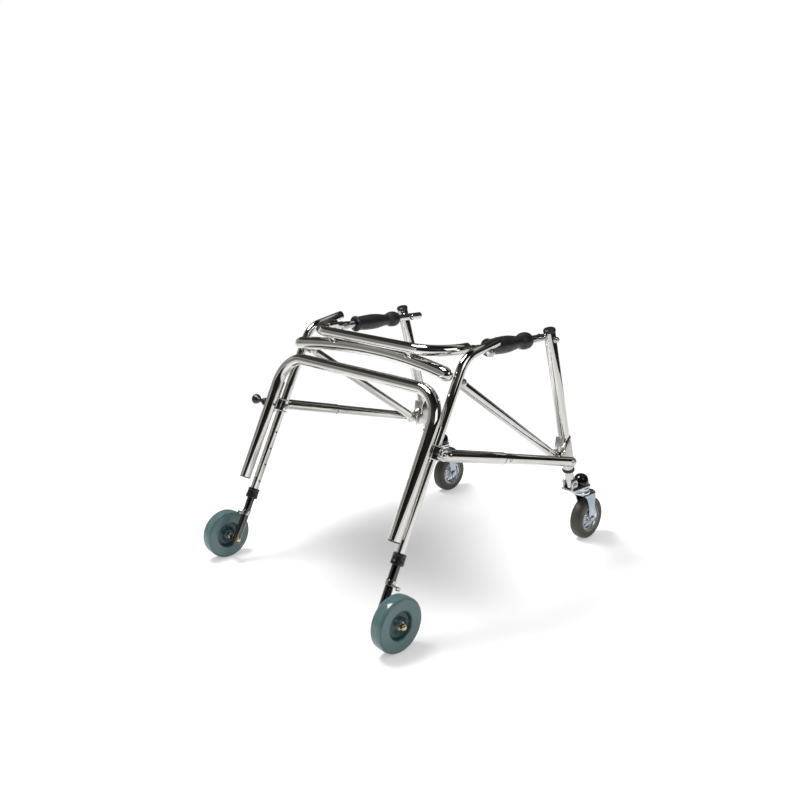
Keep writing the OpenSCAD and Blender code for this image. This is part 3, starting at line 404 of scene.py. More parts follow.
# polished plating: slight haze and wipe marks in the gloss, faint tint changes
def platedMetal(name, colour, shade, rough, haze, grain):
    mat, tree, shader = material(name, colour, rough[0], metallic=1.0)
    where = objectPoint(tree)
    hazeCloud = cloud(tree, where, haze, 5.0, 0.6)
    link(tree, spread(tree, hazeCloud, "Fac", *rough), "Result", shader, "Roughness")
    tintCloud = cloud(tree, where, haze * 0.35, 3.0)
    link(tree, tints(tree, tintCloud, "Fac", [(0.35, shade), (0.65, colour)]), "Color", shader, "Base Color")
    fine = cloud(tree, objectPoint(tree, (1, 1, 0.25)), 900.0, 2.0)
    bumpy(tree, shader, fine, "Fac", grain, 0.0002)
    return mat


chromePlate = platedMetal("chromePlate", (0.64, 0.633, 0.615), (0.575, 0.565, 0.545),
                          rough=(0.035, 0.10), haze=26.0, grain=0.01)
# a much darker chrome, used for the inner legs
darkChrome = platedMetal("darkChrome", (0.115, 0.112, 0.108), (0.08, 0.078, 0.075),
                          rough=(0.06, 0.14), haze=30.0, grain=0.01)
satinChrome = platedMetal("satinChrome", (0.58, 0.57, 0.55), (0.50, 0.49, 0.465),
                          rough=(0.12, 0.24), haze=40.0, grain=0.08)
zincSteel = platedMetal("zincSteel", (0.60, 0.61, 0.61), (0.47, 0.48, 0.49),
                        rough=(0.16, 0.34), haze=90.0, grain=0.15)
brightZinc = platedMetal("brightZinc", (0.82, 0.83, 0.87), (0.66, 0.70, 0.78),
                         rough=(0.16, 0.30), haze=120.0, grain=0.08)
blueZinc = platedMetal("blueZinc", (0.42, 0.50, 0.56), (0.30, 0.37, 0.42),
                       rough=(0.20, 0.38), haze=60.0, grain=0.15)
yellowZinc = platedMetal("yellowZinc", (0.62, 0.53, 0.36), (0.48, 0.40, 0.27),
                         rough=(0.14, 0.30), haze=110.0, grain=0.12)


# moulded pieces: colour mottling, sheen changes and a fine moulded skin
def mouldedSkin(name, colour, shade, rough, mottle, skin, depth):
    mat, tree, shader = material(name, colour, rough[0])
    where = objectPoint(tree)
    patches = cloud(tree, where, mottle, 4.0)
    link(tree, tints(tree, patches, "Fac", [(0.32, shade), (0.68, colour)]), "Color", shader, "Base Color")
    sheen = spread(tree, cloud(tree, where, mottle * 2.3, 5.0), "Fac", *rough)
    link(tree, sheen, "Result", shader, "Roughness")
    bumpy(tree, shader, cloud(tree, where, skin, 3.0), "Fac", depth, 0.0004)
    return mat


wheelGrey = mouldedSkin("wheelGrey", (0.088, 0.153, 0.156), (0.078, 0.138, 0.141),
                        rough=(0.11, 0.17), mottle=24.0, skin=420.0, depth=0.012)
# the hub: the tyre's teal darkened, as painted shade for the hub's recess
hubTealPaintedShade = mouldedSkin("hubTealPaintedShade", (0.026, 0.066, 0.074), (0.020, 0.052, 0.060),
                      rough=(0.24, 0.36), mottle=30.0, skin=500.0, depth=0.08)
casterRubber = mouldedSkin("casterRubber", (0.042, 0.042, 0.031), (0.030, 0.030, 0.023),
                           rough=(0.42, 0.58), mottle=34.0, skin=700.0, depth=0.25)
bandRubber = mouldedSkin("bandRubber", (0.235, 0.235, 0.185), (0.180, 0.180, 0.140),
                         rough=(0.5, 0.7), mottle=40.0, skin=700.0, depth=0.2)
gripRubber = mouldedSkin("gripRubber", (0.015, 0.015, 0.016), (0.010, 0.010, 0.011),
                         rough=(0.36, 0.52), mottle=45.0, skin=1100.0, depth=0.45)
blackPlastic = mouldedSkin("blackPlastic", (0.014, 0.014, 0.015), (0.009, 0.009, 0.010),
                           rough=(0.22, 0.36), mottle=50.0, skin=800.0, depth=0.08)
glossBlack = mouldedSkin("glossBlack", (0.006, 0.006, 0.007), (0.004, 0.004, 0.005),
                         rough=(0.03, 0.06), mottle=30.0, skin=500.0, depth=0.01)
# flat near-black standing in for the inside of holes and gaps: painted shade
paintedHoleShade = mouldedSkin("paintedHoleShade", (0.012, 0.012, 0.012), (0.008, 0.008, 0.008),
                       rough=(0.5, 0.7), mottle=60.0, skin=600.0, depth=0.1)
print("finishes made:", len(bpy.data.materials))


# pieces
def addPiece(name, bm, finish, body, nodes=(), sharp=38):
    closeUp(bm)
    bmesh.ops.scale(bm, vec=(0.001, 0.001, 0.001), verts=bm.verts)
    mesh = bpy.data.meshes.new(name)
    bm.to_mesh(mesh)
    bm.free()
    mesh.shade_smooth()
    mesh.set_sharp_from_angle(angle=radians(sharp))
    mesh.materials.append(finish)
    piece = bpy.data.objects.new(name, mesh)
    bpy.context.scene.collection.objects.link(piece)
    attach(piece, body)
    if nodes:
        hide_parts(*nodes)


# a piece drawn for the right side, and its mirror image on the left
def addPair(name, bm, finish, body, node=None, sharp=38):
    for side, shape in (("right", bm), ("left", mirrored(bm))):
        addPiece(side + "_" + name, shape, finish, body if body == "frame" else side + "_" + body,
                 [side + "_" + node] if node else (), sharp)


# rear frame: one tube bent to an upside-down U
rearFrame = {"barHeight": 520.0, "leg": 329.6, "bend": 72.0, "radius": 14.3}
barBack = Vector((0, *rearPoint(rearFrame["barHeight"])))
straight = rearFrame["leg"] - rearFrame["bend"]
rearRuns = [(straight,), (rearFrame["bend"], 90, (1, 0, 0)), (2 * (rearX - rearFrame["bend"]),),
            (rearFrame["bend"], 90, -legUp), (straight,)]
rearFoot = barBack + Vector((-rearX, 0, 0)) - legUp * rearFrame["leg"]
addPiece("rearFrame", tube(rearFrame["radius"], rearFoot, legUp, rearRuns),
         chromePlate, "frame", ["rear_frame"])

# side tubes: up along the leg and forwards, with lugs for the brace and the grip pivot
sideTube = {"foot": 166.0, "corner": 587.4, "bend": 65.0, "rise": 11.0, "topRun": 108.17, "radius": 11.0,
            "lug": [(-31, -11), (0, -10, 9.9), (10, -10, 9.9), (10, 10, 9.9), (0, 10), (-31, 11)],
            "gripLug": [(-10, 12), (-10, -10, 9.8), (10, -10, 9.8), (10, 12)],
            "lugThick": 4.0, "gripThick": 10.0, "gripIn": 2.0}
turn = 90 - rearLean - sideTube["rise"]
cut = sideTube["bend"] * tan(radians(turn / 2))
legRun = (sideTube["corner"] - sideTube["foot"]) / cos(radians(rearLean)) - cut
forward = Vector((0, cos(radians(rearLean)), -sin(radians(rearLean))))
lug = shift(plate(sideTube["lug"], sideTube["lugThick"], 0.7), 0, 0, -sideTube["lugThick"] / 2)
place(lug, moved(sideX, *bracePivot) @ turned(-rearLean, "X") @ sideways)
gripLug = plate(sideTube["gripLug"], sideTube["gripThick"], 0.9)
place(gripLug, moved(sideX - sideTube["gripIn"], *gripPivot) @ turned(sideTube["rise"], "X") @ sideways)
sideRuns = [(legRun,), (sideTube["bend"], turn, forward), (sideTube["topRun"] - cut,)]
bent = tube(sideTube["radius"], Vector((sideX, *legPoint(sideTube["foot"]))), legUp, sideRuns)
addPair("sideTube", join(bent, lug, gripLug), chromePlate, "frame", "side_tube")

# eyelets of the height holes on the inner side of each leg; a dark disc in each hole is painted shade
eyelets = {"heights": (206.0, 246.0, 286.0, 326.0), "radius": 3.6, "bore": 2.6,
           "sunk": 0.7, "rim": 1.0, "floor": 0.75}
rims, holeShades = [], []
for z in eyelets["heights"]:
    inwards = onLeg(sideX, z) @ turned(-90, "Y") @ moved(0, 0, sideTube["radius"] - eyelets["sunk"])
    rims.append(place(washer(eyelets["radius"], eyelets["bore"], eyelets["rim"]), inwards))
    holeShades.append(place(disc(eyelets["bore"], eyelets["floor"], 0.1, 24), inwards))
addPair("legEyelets", join(*rims), satinChrome, "frame")
# near-black discs in the holes: painted shade
addPair("legHoleShade", join(*holeShades), paintedHoleShade, "frame")
print("rear frame and side tubes made")

# lower back bar: a bowed oval tube with bullet ends, given as rows of (inset, depth)
lowerBar = {"height": 551.0, "bow": 28.0, "tilt": 36.0, "half": 274.0, "radius": 14.0, "capLong": 20.0,
            "oval": 0.16, "fromLeg": 24.0,
            "bullet": ((0.7, 5), (1.1, 5), (1.7, 4.5), (2.4, 3.2), (3.0, 1.7), (3.2, 0.6))}
endY = legPoint(lowerBar["height"])[0] - lowerBar["fromLeg"] / cos(radians(rearLean))
bowWay = Vector((0, cos(radians(lowerBar["tilt"])), sin(radians(lowerBar["tilt"]))))
barRound = (lowerBar["half"] ** 2 + lowerBar["bow"] ** 2) / (2 * lowerBar["bow"])
barHalf = degrees(atan2(lowerBar["half"], barRound - lowerBar["bow"]) - lowerBar["capLong"] / barRound)
outWay = bowWay * cos(radians(barHalf)) - Vector((1, 0, 0)) * sin(radians(barHalf))
barHead = Vector((1, 0, 0)) * cos(radians(barHalf)) + bowWay * sin(radians(barHalf))
barStart = Vector((0, endY, lowerBar["height"])) + bowWay * (lowerBar["bow"] - barRound) + outWay * barRound


# how far the bar's middle line has bowed at a distance from the middle plane
def bowAt(x):
    return lowerBar["bow"] - barRound + sqrt(barRound ** 2 - x ** 2)


bowed = tube(lowerBar["radius"], barStart, barHead, [(barRound, 2 * barHalf, -outWay)], edge=0.2,
             dome=lowerBar["bullet"])
for vert in bowed.verts:  # an oval section, taller than deep
    middle = lowerBar["height"] + bowWay.z * bowAt(vert.co.x)
    bmesh.ops.translate(bowed, verts=[vert], vec=(0, 0, (vert.co.z - middle) * lowerBar["oval"]))
addPiece("lowerBackBar", bowed, chromePlate, "frame", ["lower_back_bar"])

# upper back bar: a level U with a clevis for each grip at its ends
upperBar = {"height": 595.0, "back": -175.21, "front": -83.21, "bend": 84.0, "radius": 12.7,
            "slot": 15.0, "cheek": 3.0, "rootGap": 0.9, "rootBack": 8.0, "rootLong": 10.0,
            "cheekLine": [(-36, -10, 2), (10, -10, 9.8), (10, 10, 9.8), (-36, 10, 2)]}
armRun = upperBar["front"] - upperBar["back"] - upperBar["bend"]
cheeks = []
for inner in (-1, 1):
    cheekX = handleX + inner * (upperBar["slot"] + upperBar["cheek"]) / 2 - upperBar["cheek"] / 2
    cheeks.append(sidePlate(upperBar["cheekLine"], cheekX, upperBar["cheek"], 0.6, gripPivot))
rootRadius, rootLong = upperBar["radius"] - upperBar["rootGap"], upperBar["rootLong"]
root = lathe([(0, 0), (rootRadius, 0), (rootRadius, rootLong, 1), (0, rootLong)])
place(root, moved(handleX, upperBar["front"] - upperBar["rootBack"], upperBar["height"]) @ turned(-90, "X"))
upperRuns = [(armRun,), (upperBar["bend"], 90, (1, 0, 0)), (2 * (handleX - upperBar["bend"]),),
             (upperBar["bend"], 90, (0, 1, 0)), (armRun,)]
upperStart = (-handleX, upperBar["front"], upperBar["height"])
upperTube = tube(upperBar["radius"], upperStart, (0, -1, 0), upperRuns, mouth=1)
addPiece("upperBackBar", join(upperTube, bothSides(join(root, *cheeks))),
         chromePlate, "frame", ["upper_back_bar"])

# straps between the two back bars
barLinks = {"x": 135.0, "width": 22.0, "depthShare": 0.8, "edge": 2.5}
linkBow = bowAt(barLinks["x"])
lowAt = Vector((barLinks["x"], endY + linkBow * bowWay.y, lowerBar["height"] + linkBow * bowWay.z))
highAt = Vector((barLinks["x"], upperBar["back"], upperBar["height"]))
strapWay = highAt - lowAt
strap = bmesh.new()
bmesh.ops.create_cube(strap, size=1)
strapSize = (barLinks["width"], barLinks["width"] * barLinks["depthShare"], strapWay.length)
bmesh.ops.scale(strap, vec=strapSize, verts=strap.verts)
soften(strap, barLinks["edge"], 3)
strapTurn = strapWay.to_track_quat("Z", "X").to_matrix().to_4x4()
place(strap, Matrix.Translation((lowAt + highAt) / 2) @ strapTurn @ turned(90, "Z"))
addPiece("barLinks", bothSides(strap), chromePlate, "frame", ["bar_links"])
print("back bars made")

# hinge brackets: two plates from the side tube to the rear leg, a black half sleeve and a long pin
hinge = {"half": 16.0, "plate": 3.0,
         "pinUp": 40.0, "pinDown": 8.0, "pinSpot": (8.0, -17.48), "pinRadius": 4.5,
         "sleeve": [(11.1, -12.8), (14.9, -12.8, 1.2), (14.9, -7), (13.9, -6), (13.9, 6), (14.9, 7),
                    (14.9, 12.8, 1.2), (11.1, 12.8)]}
dx, pitch = rearX - sideX, stance["tubePitch"]
hingeLine = [(-16, 3), (-13, 16, 9), (10, 16, 9), (16.4, 6, 5), (16.4, -pitch * 0.5),
             (dx + 13, -pitch + 1, 5), (dx - 13, -pitch + 1, 5)]
plates = [shift(plate(hingeLine, hinge["plate"], 0.7), 0, 0, z)
          for z in (-hinge["half"], hinge["half"] - hinge["plate"])]
onHinge = onLine(sideX, railPivot, 90 - rearLean)
addPair("hingeBracket", place(join(*plates), onHinge), satinChrome, "frame", "hinge_bracket")
sleeve = halfSleeve(hinge["sleeve"], lambda a, b: (0, -a, b))
addPiece("hingeBlocks", bothSides(place(sleeve, onHinge)),
         blackPlastic, "frame", ["hinge_blocks"])
pinFoot, pinTop = -hinge["half"] - hinge["pinDown"], hinge["half"] + hinge["pinUp"]
pin = lathe([(0, pinFoot), (hinge["pinRadius"], pinFoot, 1), (hinge["pinRadius"], pinTop),
             (hinge["pinRadius"], pinTop + 4.4, 4.3), (0, pinTop + 4.5)], 32)
addPiece("hingePins", bothSides(place(pin, onHinge @ moved(*hinge["pinSpot"], 0))),
         chromePlate, "frame", ["hinge_pins"])

# plugs in the open tube ends, by bore and radius
plugSize = {"depth": 6.0, "head": 3.0, "rear": (12.8, 14.2), "side": (9.7, 10.9)}


def tubePlug(bore, radius):
    return lathe([(0, -plugSize["depth"]), (bore, -plugSize["depth"]), (bore, -0.1), (radius, 0, 0.4),
                  (radius, plugSize["head"], 1.6), (0, plugSize["head"])], 48)


rearPlug = place(tubePlug(*plugSize["rear"]),
                 Matrix.Translation(barBack + Vector((rearX, 0, 0)) - legUp * rearFrame["leg"])
                 @ turned(180 - rearLean, "X"))
sidePlug = place(tubePlug(*plugSize["side"]),
                 onLine(sideX, legPoint(sideTube["corner"]), sideTube["rise"])
                 @ moved(0, 0, sideTube["topRun"]))
addPiece("tubePlugs", bothSides(join(rearPlug, sidePlug)),
         blackPlastic, "frame", ["tube_plugs"])

# bolts fixed to the frame, and the shoulder that the lower rail turns on
frameBolt = {"grip": (-10.5, 8.0), "brace": (-8.0, 2.0), "rail": (-15.0, 6.8),
             "shoulder": 8.0, "shoulderFrom": 10.0, "eyeHalf": 6.5, "gap": 0.3}
shoulderLong = railX - frameBolt["eyeHalf"] - frameBolt["gap"] - sideX - frameBolt["shoulderFrom"]
shoulder = disc(frameBolt["shoulder"], shoulderLong, 0.6)
setAcross(shoulder, sideX + frameBolt["shoulderFrom"], railPivot)
addPiece("frameBolts", bothSides(join(
    crossBolt(gripPivot, handleX + frameBolt["grip"][0], sideX + frameBolt["grip"][1]),
    crossBolt(bracePivot, braceX + frameBolt["brace"][0], sideX + frameBolt["brace"][1]),
    crossBolt(railPivot, sideX + frameBolt["rail"][0], railX + frameBolt["rail"][1]), shoulder)),
    zincSteel, "frame", ["frame_bolts"])

# pull pin: a bush on the left rear leg and an hourglass knob
pullPin = {"height": 402.0,
           "bush": [(3.1, 10), (7.4, 10), (7.4, 17, 0.5), (6.6, 18.3, 0.5), (3.1, 18.3)],
           "knob": [(0, -19), (2.9, -19, 0.8), (2.9, 18.6), (9.5, 18.6, 0.8), (11, 22, 1.5), (10.4, 26, 3),
                    (4.6, 40, 6), (4.6, 46, 4), (12.6, 60, 4), (13.4, 64, 1.2), (12.6, 68, 1.6), (0, 68.6)]}
onPin = moved(-rearX, *rearPoint(pullPin["height"])) @ turned(-90, "Y")
addPiece("pullPinBush", place(lathe(pullPin["bush"], 40, True), onPin),
         zincSteel, "frame", ["pull_pin_bush"])
addPiece("pullPinKnob", place(lathe(pullPin["knob"], 56), onPin),
         blackPlastic, "pull_pin", ["pull_pin_knob"])
print("hinges, bolts and pull pin made")

# legs: a ribbed black collar, the inner leg, the stop over the tyre and the axle
legCollar = {"ribs": 10, "ribFrom": (13.9, 6.6), "ribLong": 10.0, "ribHalf": 0.9,
             "line": [(9.9, -3), (15.4, -3, 0.8), (15.4, 5, 0.5), (14.2, 6.2, 0.4), (14.2, 17, 0.5),
                      (15, 18, 0.4), (15, 22, 0.8), (11.1, 22)]}
collar = lathe(legCollar["line"], 48, True)
ribs = []
for k in range(legCollar["ribs"]):
    w = legCollar["ribHalf"]
    rib = plate([(0, -w), (1, -w), (1, w), (0, w)], legCollar["ribLong"], 0.2, 1)
    shift(rib, legCollar["ribFrom"][0], 0, legCollar["ribFrom"][1])
    ribs.append(place(rib, turned(360 * k / legCollar["ribs"], "Z")))
addPair("legCollar", place(join(collar, *ribs), onLeg(sideX, sideTube["foot"])),
        blackPlastic, "frame", "leg_collar")

innerLeg = {"radius": 9.7, "tail": 13.0, "hidden": 150.0}
legSpan = (sideTube["foot"] - axleZ) / cos(radians(rearLean))
legTube = tube(innerLeg["radius"], Vector((sideX, *axle)) - legUp * innerLeg["tail"], legUp,
               [(innerLeg["tail"] + legSpan + innerLeg["hidden"],)], mouth=3)
addPair("innerLeg", legTube, darkChrome, "leg", "inner_leg")

rollStop = {"overTyre": 4.0, "half": 6.0, "thick": 3.0, "tipLong": 6.0, "tipDrop": 10.5,
            "ring": [(9.75, -6), (11.6, -6, 0.5), (11.6, 6, 0.5), (9.75, 6)],
            "tongue": [(10, -7), (27, -7, 2), (27, 7, 2), (10, 7)],
            "tip": [(24, -6.5, 1), (27, -6.5, 1), (27, 6.5, 1), (24, 6.5, 1)]}
stopAt = (axleZ + rollStop["overTyre"] + rollStop["half"]) * cos(radians(rearLean)) + axleZ
tongue = shift(plate(rollStop["tongue"], rollStop["thick"], 0.6), 0, 0, -rollStop["half"])
tip = shift(plate(rollStop["tip"], rollStop["tipLong"], 0.5), 0, 0, -rollStop["tipDrop"])
stop = join(lathe(rollStop["ring"], 48, True), tongue, tip)
addPair("rollStop", place(stop, onLeg(sideX, stopAt)), satinChrome, "leg", "roll_stop")

rearAxle = {"hubFace": 339.3, "shank": 4.0, "tail": 9.0, "stub": 14.0,
            "washer": 1.5, "nut": 7.0, "nutRadius": 7.5,
            "spacer": [(4, 9), (7, 9, 0.3), (7, 25, 0.3), (5.8, 25.6), (5.8, 28), (7, 28.6),
                       (7, 37.5, 0.4), (4, 37.5)],
            "nutRing": [(4.1, 10), (5.6, 10, 0.4), (5.6, 11.6, 0.6), (4.1, 12.2)]}
hubFace, axleTail = rearAxle["hubFace"], sideX - rearAxle["tail"]
axleLong = hubFace + rearAxle["stub"] - sideX + rearAxle["tail"]
axleBits = [setAcross(disc(rearAxle["shank"], axleLong, 0.5, 32), axleTail, axle),
            place(roundHead(5.6, 2.6), moved(axleTail, *axle) @ turned(-90, "Y")),
            setAcross(lathe(rearAxle["spacer"], 40, True), sideX, axle),
            setAcross(washer(9, 4.3, 1.45), hubFace, axle),
            setAcross(washer(8.2, 4.15, rearAxle["washer"]), hubFace + rearAxle["washer"], axle),
            setAcross(hexagon(rearAxle["nutRadius"], rearAxle["nut"]),
                      hubFace + 2 * rearAxle["washer"], axle),
            setAcross(lathe(rearAxle["nutRing"], 32, True), hubFace, axle)]
addPair("rearAxle", join(*axleBits), yellowZinc, "leg", "rear_axle")

# rear wheels: a wide moulded tyre with a groove round its face, on a dished hub
rearWheel = {"radius": 62.5, "half": 14.0, "recess": 33.0, "inner": 2.5, "bossMore": 2}
onAxle = alongX(wheelX, axle)
r, h, c = rearWheel["radius"], rearWheel["half"], rearWheel["recess"]
tyreSide = [(c + 1.2, h, 0.8), (r - 5.4, h, 0.3), (r - 4.8, h - 1.3), (r - 3.8, h - 1.3),
            (r - 3.3, h - 0.3, 0.4), (r - 0.9, h - 2.8, 1.6), (r, h - 8, 5)]
tyreLine = [(c, h - 1.5)] + tyreSide + flipped(tyreSide[::-1], rearWheel["inner"]) + [(c, -h + 1.5), (c, 0)]
addPair("rearTyre", place(lathe(tyreLine, 128, True), onAxle),
        wheelGrey, "rear_wheel", "rear_tyre")
hubRim = [(c + 0.5, 12.3), (c - 1.4, 12.1, 0.7), (c - 4, 3.4, 2.2), (21, 3.4, 2.5), (15.5, 6, 3)]
hubBoss = [(12, 11.4, 1.2), (4.1, 12)]
hubLine = flipped(hubRim) + flipped(hubBoss, rearWheel["bossMore"]) + (hubRim + hubBoss)[::-1]
# the hub's darker teal is painted shade for its recess
addPair("rearHub", place(lathe(hubLine, 96, True), onAxle),
        hubTealPaintedShade, "rear_wheel", "rear_hub")
print("legs and rear wheels made")

# handles: rod with a flat tongue, and a moulded grip with palm swell, waist and bulb
handle = {"radius": 9.5, "from": 13.0, "tail": 38.0, "gripFrom": 38.0, "tangThick": 14.4,
          "tang": [(-9, 0, 8.9), (-9, 16), (9, 16), (9, 0, 8.9), (9, -9, 8.9), (-9, -9, 8.9)],
          "nut": (7.5, 5), "nutOut": 4.8, "washer": (9, 4, 1.4), "washerOut": 0.8,
          "grip": [(9.55, 4.2), (16.4, 4.2, 0.8), (17.8, 0.5, 0.6), (20.2, 0, 0.8), (21.4, 1.6, 1.2),
                   (21.4, 5.2, 1.8), (18.6, 8.6, 2.4), (18.8, 18, 7), (20.4, 40, 14), (20.9, 60, 16),
                   (20.1, 78, 14), (17.4, 96, 10), (15.1, 109, 7), (15.4, 117, 5), (20.2, 127, 4),
                   (21.5, 137, 5), (20.6, 147, 5), (16.4, 155.5, 4), (11.4, 160, 1.2), (9.55, 160)]}
rodRise, rodLength = rise(gripPivot, rodPivot), span(gripPivot, rodPivot) + handle["tail"]
onRod = onLine(handleX, gripPivot, rodRise)
rod = lathe([(0, handle["from"]), (handle["radius"], handle["from"], 0.5), (handle["radius"], rodLength, 0.6),
             (8.6, rodLength + 2.6, 2), (4, rodLength + 4.6, 2), (0, rodLength + 4.75)])
tang = shift(plate(handle["tang"], handle["tangThick"], 0.6), 0, 0, -handle["tangThick"] / 2)
place(tang, sideways)
rodFace = handleX - handle["radius"]
addPair("handleRod", place(join(rod, tang), onRod), chromePlate, "handle", "handle_rod")
addPair("rodNut", setAcross(hexagon(*handle["nut"]), rodFace - handle["nutOut"], rodPivot),
        brightZinc, "handle")
addPair("rodWasher", setAcross(washer(*handle["washer"]), rodFace - handle["washerOut"], rodPivot),
        blackPlastic, "handle")
addPair("grip", place(lathe(handle["grip"], 96, True), onRod @ moved(0, 0, handle["gripFrom"])),
        gripRubber, "handle", "grip", 60)
print("handles made")

# front posts with caps, bushes, gussets and bolts
post = {"radius": 14.3, "foot": 224.0, "top": 603.0,
        "cap": [(0, -8), (13, -8), (13, 0), (15.2, 0, 0.6), (15.6, 4, 1), (14.8, 7.6, 1.6),
                (11.6, 8.9, 1.2), (0, 9)],
        "bush": [(11.15, -8), (14.6, -8, 0.8), (16.3, -5, 1.2), (16.3, -0.2, 0.6), (13, -0.1),
                 (13, 24), (11.15, 24)]}
postLength = (post["top"] - post["foot"]) / cos(radians(postLean))
postTube = tube(post["radius"], Vector((postX, *postPoint(post["foot"]))), postUp, [(postLength,)])
addPair("frontPost", postTube, chromePlate, "post", "front_post")
mouldings = join(place(lathe(post["cap"], 64), onPost(post["top"])),
                 place(lathe(post["bush"], 64, True), onPost(post["foot"])))
addPair("postMouldings", mouldings, blackPlastic, "post", "post_mouldings")

gusset = {"rise": 52.0, "drop": 16.0, "reach": 44.0, "eye": 13.6, "sheet": 2.5, "gap": 0.5,
          "wrap": (14.4, 17.2), "webHalf": 15.2, "web": [(9.4, 14.5), (11.8, 13.9), (17.5, 51), (15, 51.4)]}
lean = tan(radians(postLean))
sheetLine = [(-gusset["eye"], -gusset["eye"], 13),
             (gusset["reach"] + gusset["drop"] * lean, -gusset["drop"], 1.5),
             (gusset["reach"] - gusset["rise"] * lean, gusset["rise"], 2),
             (10, 15, 10), (-gusset["eye"], 12, 11)]
sheets = []
for inner in (-1, 1):
    sheetX = postX + inner * (post["radius"] + gusset["gap"] + gusset["sheet"] / 2) - gusset["sheet"] / 2
    sheets.append(sidePlate(sheetLine, sheetX, gusset["sheet"], 0.8, frontPivot))
wrapIn, wrapOut = gusset["wrap"]
wrap = halfSleeve([(wrapIn, -gusset["drop"]), (wrapOut, -gusset["drop"], 0.7), (wrapOut, gusset["rise"], 0.7),
                   (wrapIn, gusset["rise"])], lambda a, b: (a, 0, b))
web = sidePlate(gusset["web"], postX - gusset["webHalf"], 2 * gusset["webHalf"], 0.4, frontPivot)
addPair("cornerGusset", join(place(wrap, onPost(frontPivot[1])), web, *sheets),
        satinChrome, "post", "corner_gusset")

postBolt = {"shank": 4.0, "washer": (7.5, 4, 1.2), "washerOut": 13.9, "nut": (8.2, 5), "nutOut": 15.0,
            "dome": (6.4, 5.2), "domeOut": 19.6, "head": (7.5, 2.4, 0.6), "footNut": (7.5, 5)}
headX = postX + post["radius"] + gusset["gap"] + gusset["sheet"]
footX = 2 * postX - headX
bolts = [setAcross(disc(postBolt["shank"], 2 * post["radius"], 0.2, 32), postX - post["radius"], rodPivot),
         setAcross(washer(*postBolt["washer"]), postX + postBolt["washerOut"], rodPivot),
         setAcross(hexagon(*postBolt["nut"]), postX + postBolt["nutOut"], rodPivot),
         setAcross(roundHead(*postBolt["dome"]), postX + postBolt["domeOut"], rodPivot),
         setAcross(disc(postBolt["shank"], 2 * (headX - postX), 0.2, 32), footX, frontPivot),
         setAcross(disc(*postBolt["head"]), headX, frontPivot),
         setAcross(hexagon(*postBolt["footNut"]), footX - postBolt["footNut"][1], frontPivot)]
addPair("postBolts", join(*bolts), zincSteel, "post", "post_bolts")
print("front posts made")

# diagonal braces
brace = {"radius": 11.0, "flat": 16.0, "eye": 7.7, "width": 15.4}
braceLength = span(bracePivot, frontPivot)
braceBar = eyeBar(brace["radius"], brace["flat"], braceLength - brace["flat"], (0, braceLength),
                  brace["eye"], brace["width"])
addPair("brace", place(braceBar, onLine(braceX, bracePivot, rise(bracePivot, frontPivot))),
        chromePlate, "brace_arm", "brace", 50)

# lower rails: an outer tube, an inner tube that slides in it and a lock button
rail = {"outerRadius": 14.0, "innerRadius": 12.5, "outer": 206.0, "hidden": 70.0, "button": 20.0,
        "flat": 16.0, "eye": 13.0, "bore": 186.0, "guide": (12.6, 12.0, 0.6, 48),
        "mouth": [(12.8, 0), (14.2, 0), (14.2, 2.2, 0.5), (12.8, 2.2)],
        "collar": 8.0, "collarGap": 2.8, "washerOut": 11.4, "headOut": 13.0,
        "ring": (5.2, 4.05, 0.5), "ringSunk": 0.32,
        "buttonLine": [(0, -6.5), (3.95, -6.5), (3.95, -0.35, 0.3), (2.6, 0, 0.3), (0, 0.15)]}
railRise, railLength = rise(railPivot, frontPivot), span(railPivot, frontPivot)
onRail = onLine(railX, railPivot, railRise)
outer = eyeBar(rail["outerRadius"], rail["flat"], rail["outer"], (0,), rail["eye"], rail["eye"], rail["bore"])
addPair("railOuter", place(outer, onRail), chromePlate, "rail", "rail_outer", 50)
# a dark ring at the outer rail's open end: painted shade for the gap round the inner rail
addPair("railMouthShade", place(lathe(rail["mouth"], 56, True), onRail @ moved(0, 0, rail["outer"])),
        paintedHoleShade, "rail")
r, tail = rail["innerRadius"], rail["outer"] - rail["hidden"]
inner = lathe([(0, tail), (r, tail, 0.4), (r, railLength + 9, 1), (r - 1.2, railLength + 13.5, 3),
               (r - 5, railLength + 15.4, 2), (0, railLength + 15.8)], 56)
guide = shift(disc(*rail["guide"]), 0, 0, tail)
frontHead = join(setAcross(disc(rail["collar"], railX - headX - rail["collarGap"], 0.5),
                           headX + rail["collarGap"], frontPivot),
                 setAcross(washer(rail["collar"], 4, 1.6), railX + rail["washerOut"], frontPivot),
                 setAcross(roundHead(7.1, 4.0), railX + rail["headOut"], frontPivot))
addPair("railInner", join(place(join(inner, guide), onRail), frontHead),
        chromePlate, "rail_slide", "rail_inner", 50)
onButton = onRail @ moved(0, 0, rail["outer"] + rail["button"]) @ turned(90, "Y") @ moved(0, 0, r)
# a dark ring sunk round the lock button: painted shade of the hole it stands in
buttonHoleShade = layOn(shift(washer(*rail["ring"]), 0, 0, -rail["ringSunk"]), r)
addPair("buttonHoleShade", place(buttonHoleShade, onButton), paintedHoleShade, "rail_slide")
button = layOn(lathe(rail["buttonLine"], 32), r)
addPair("railButton", place(button, onButton), zincSteel, "button", "rail_button")
print("braces and rails made")

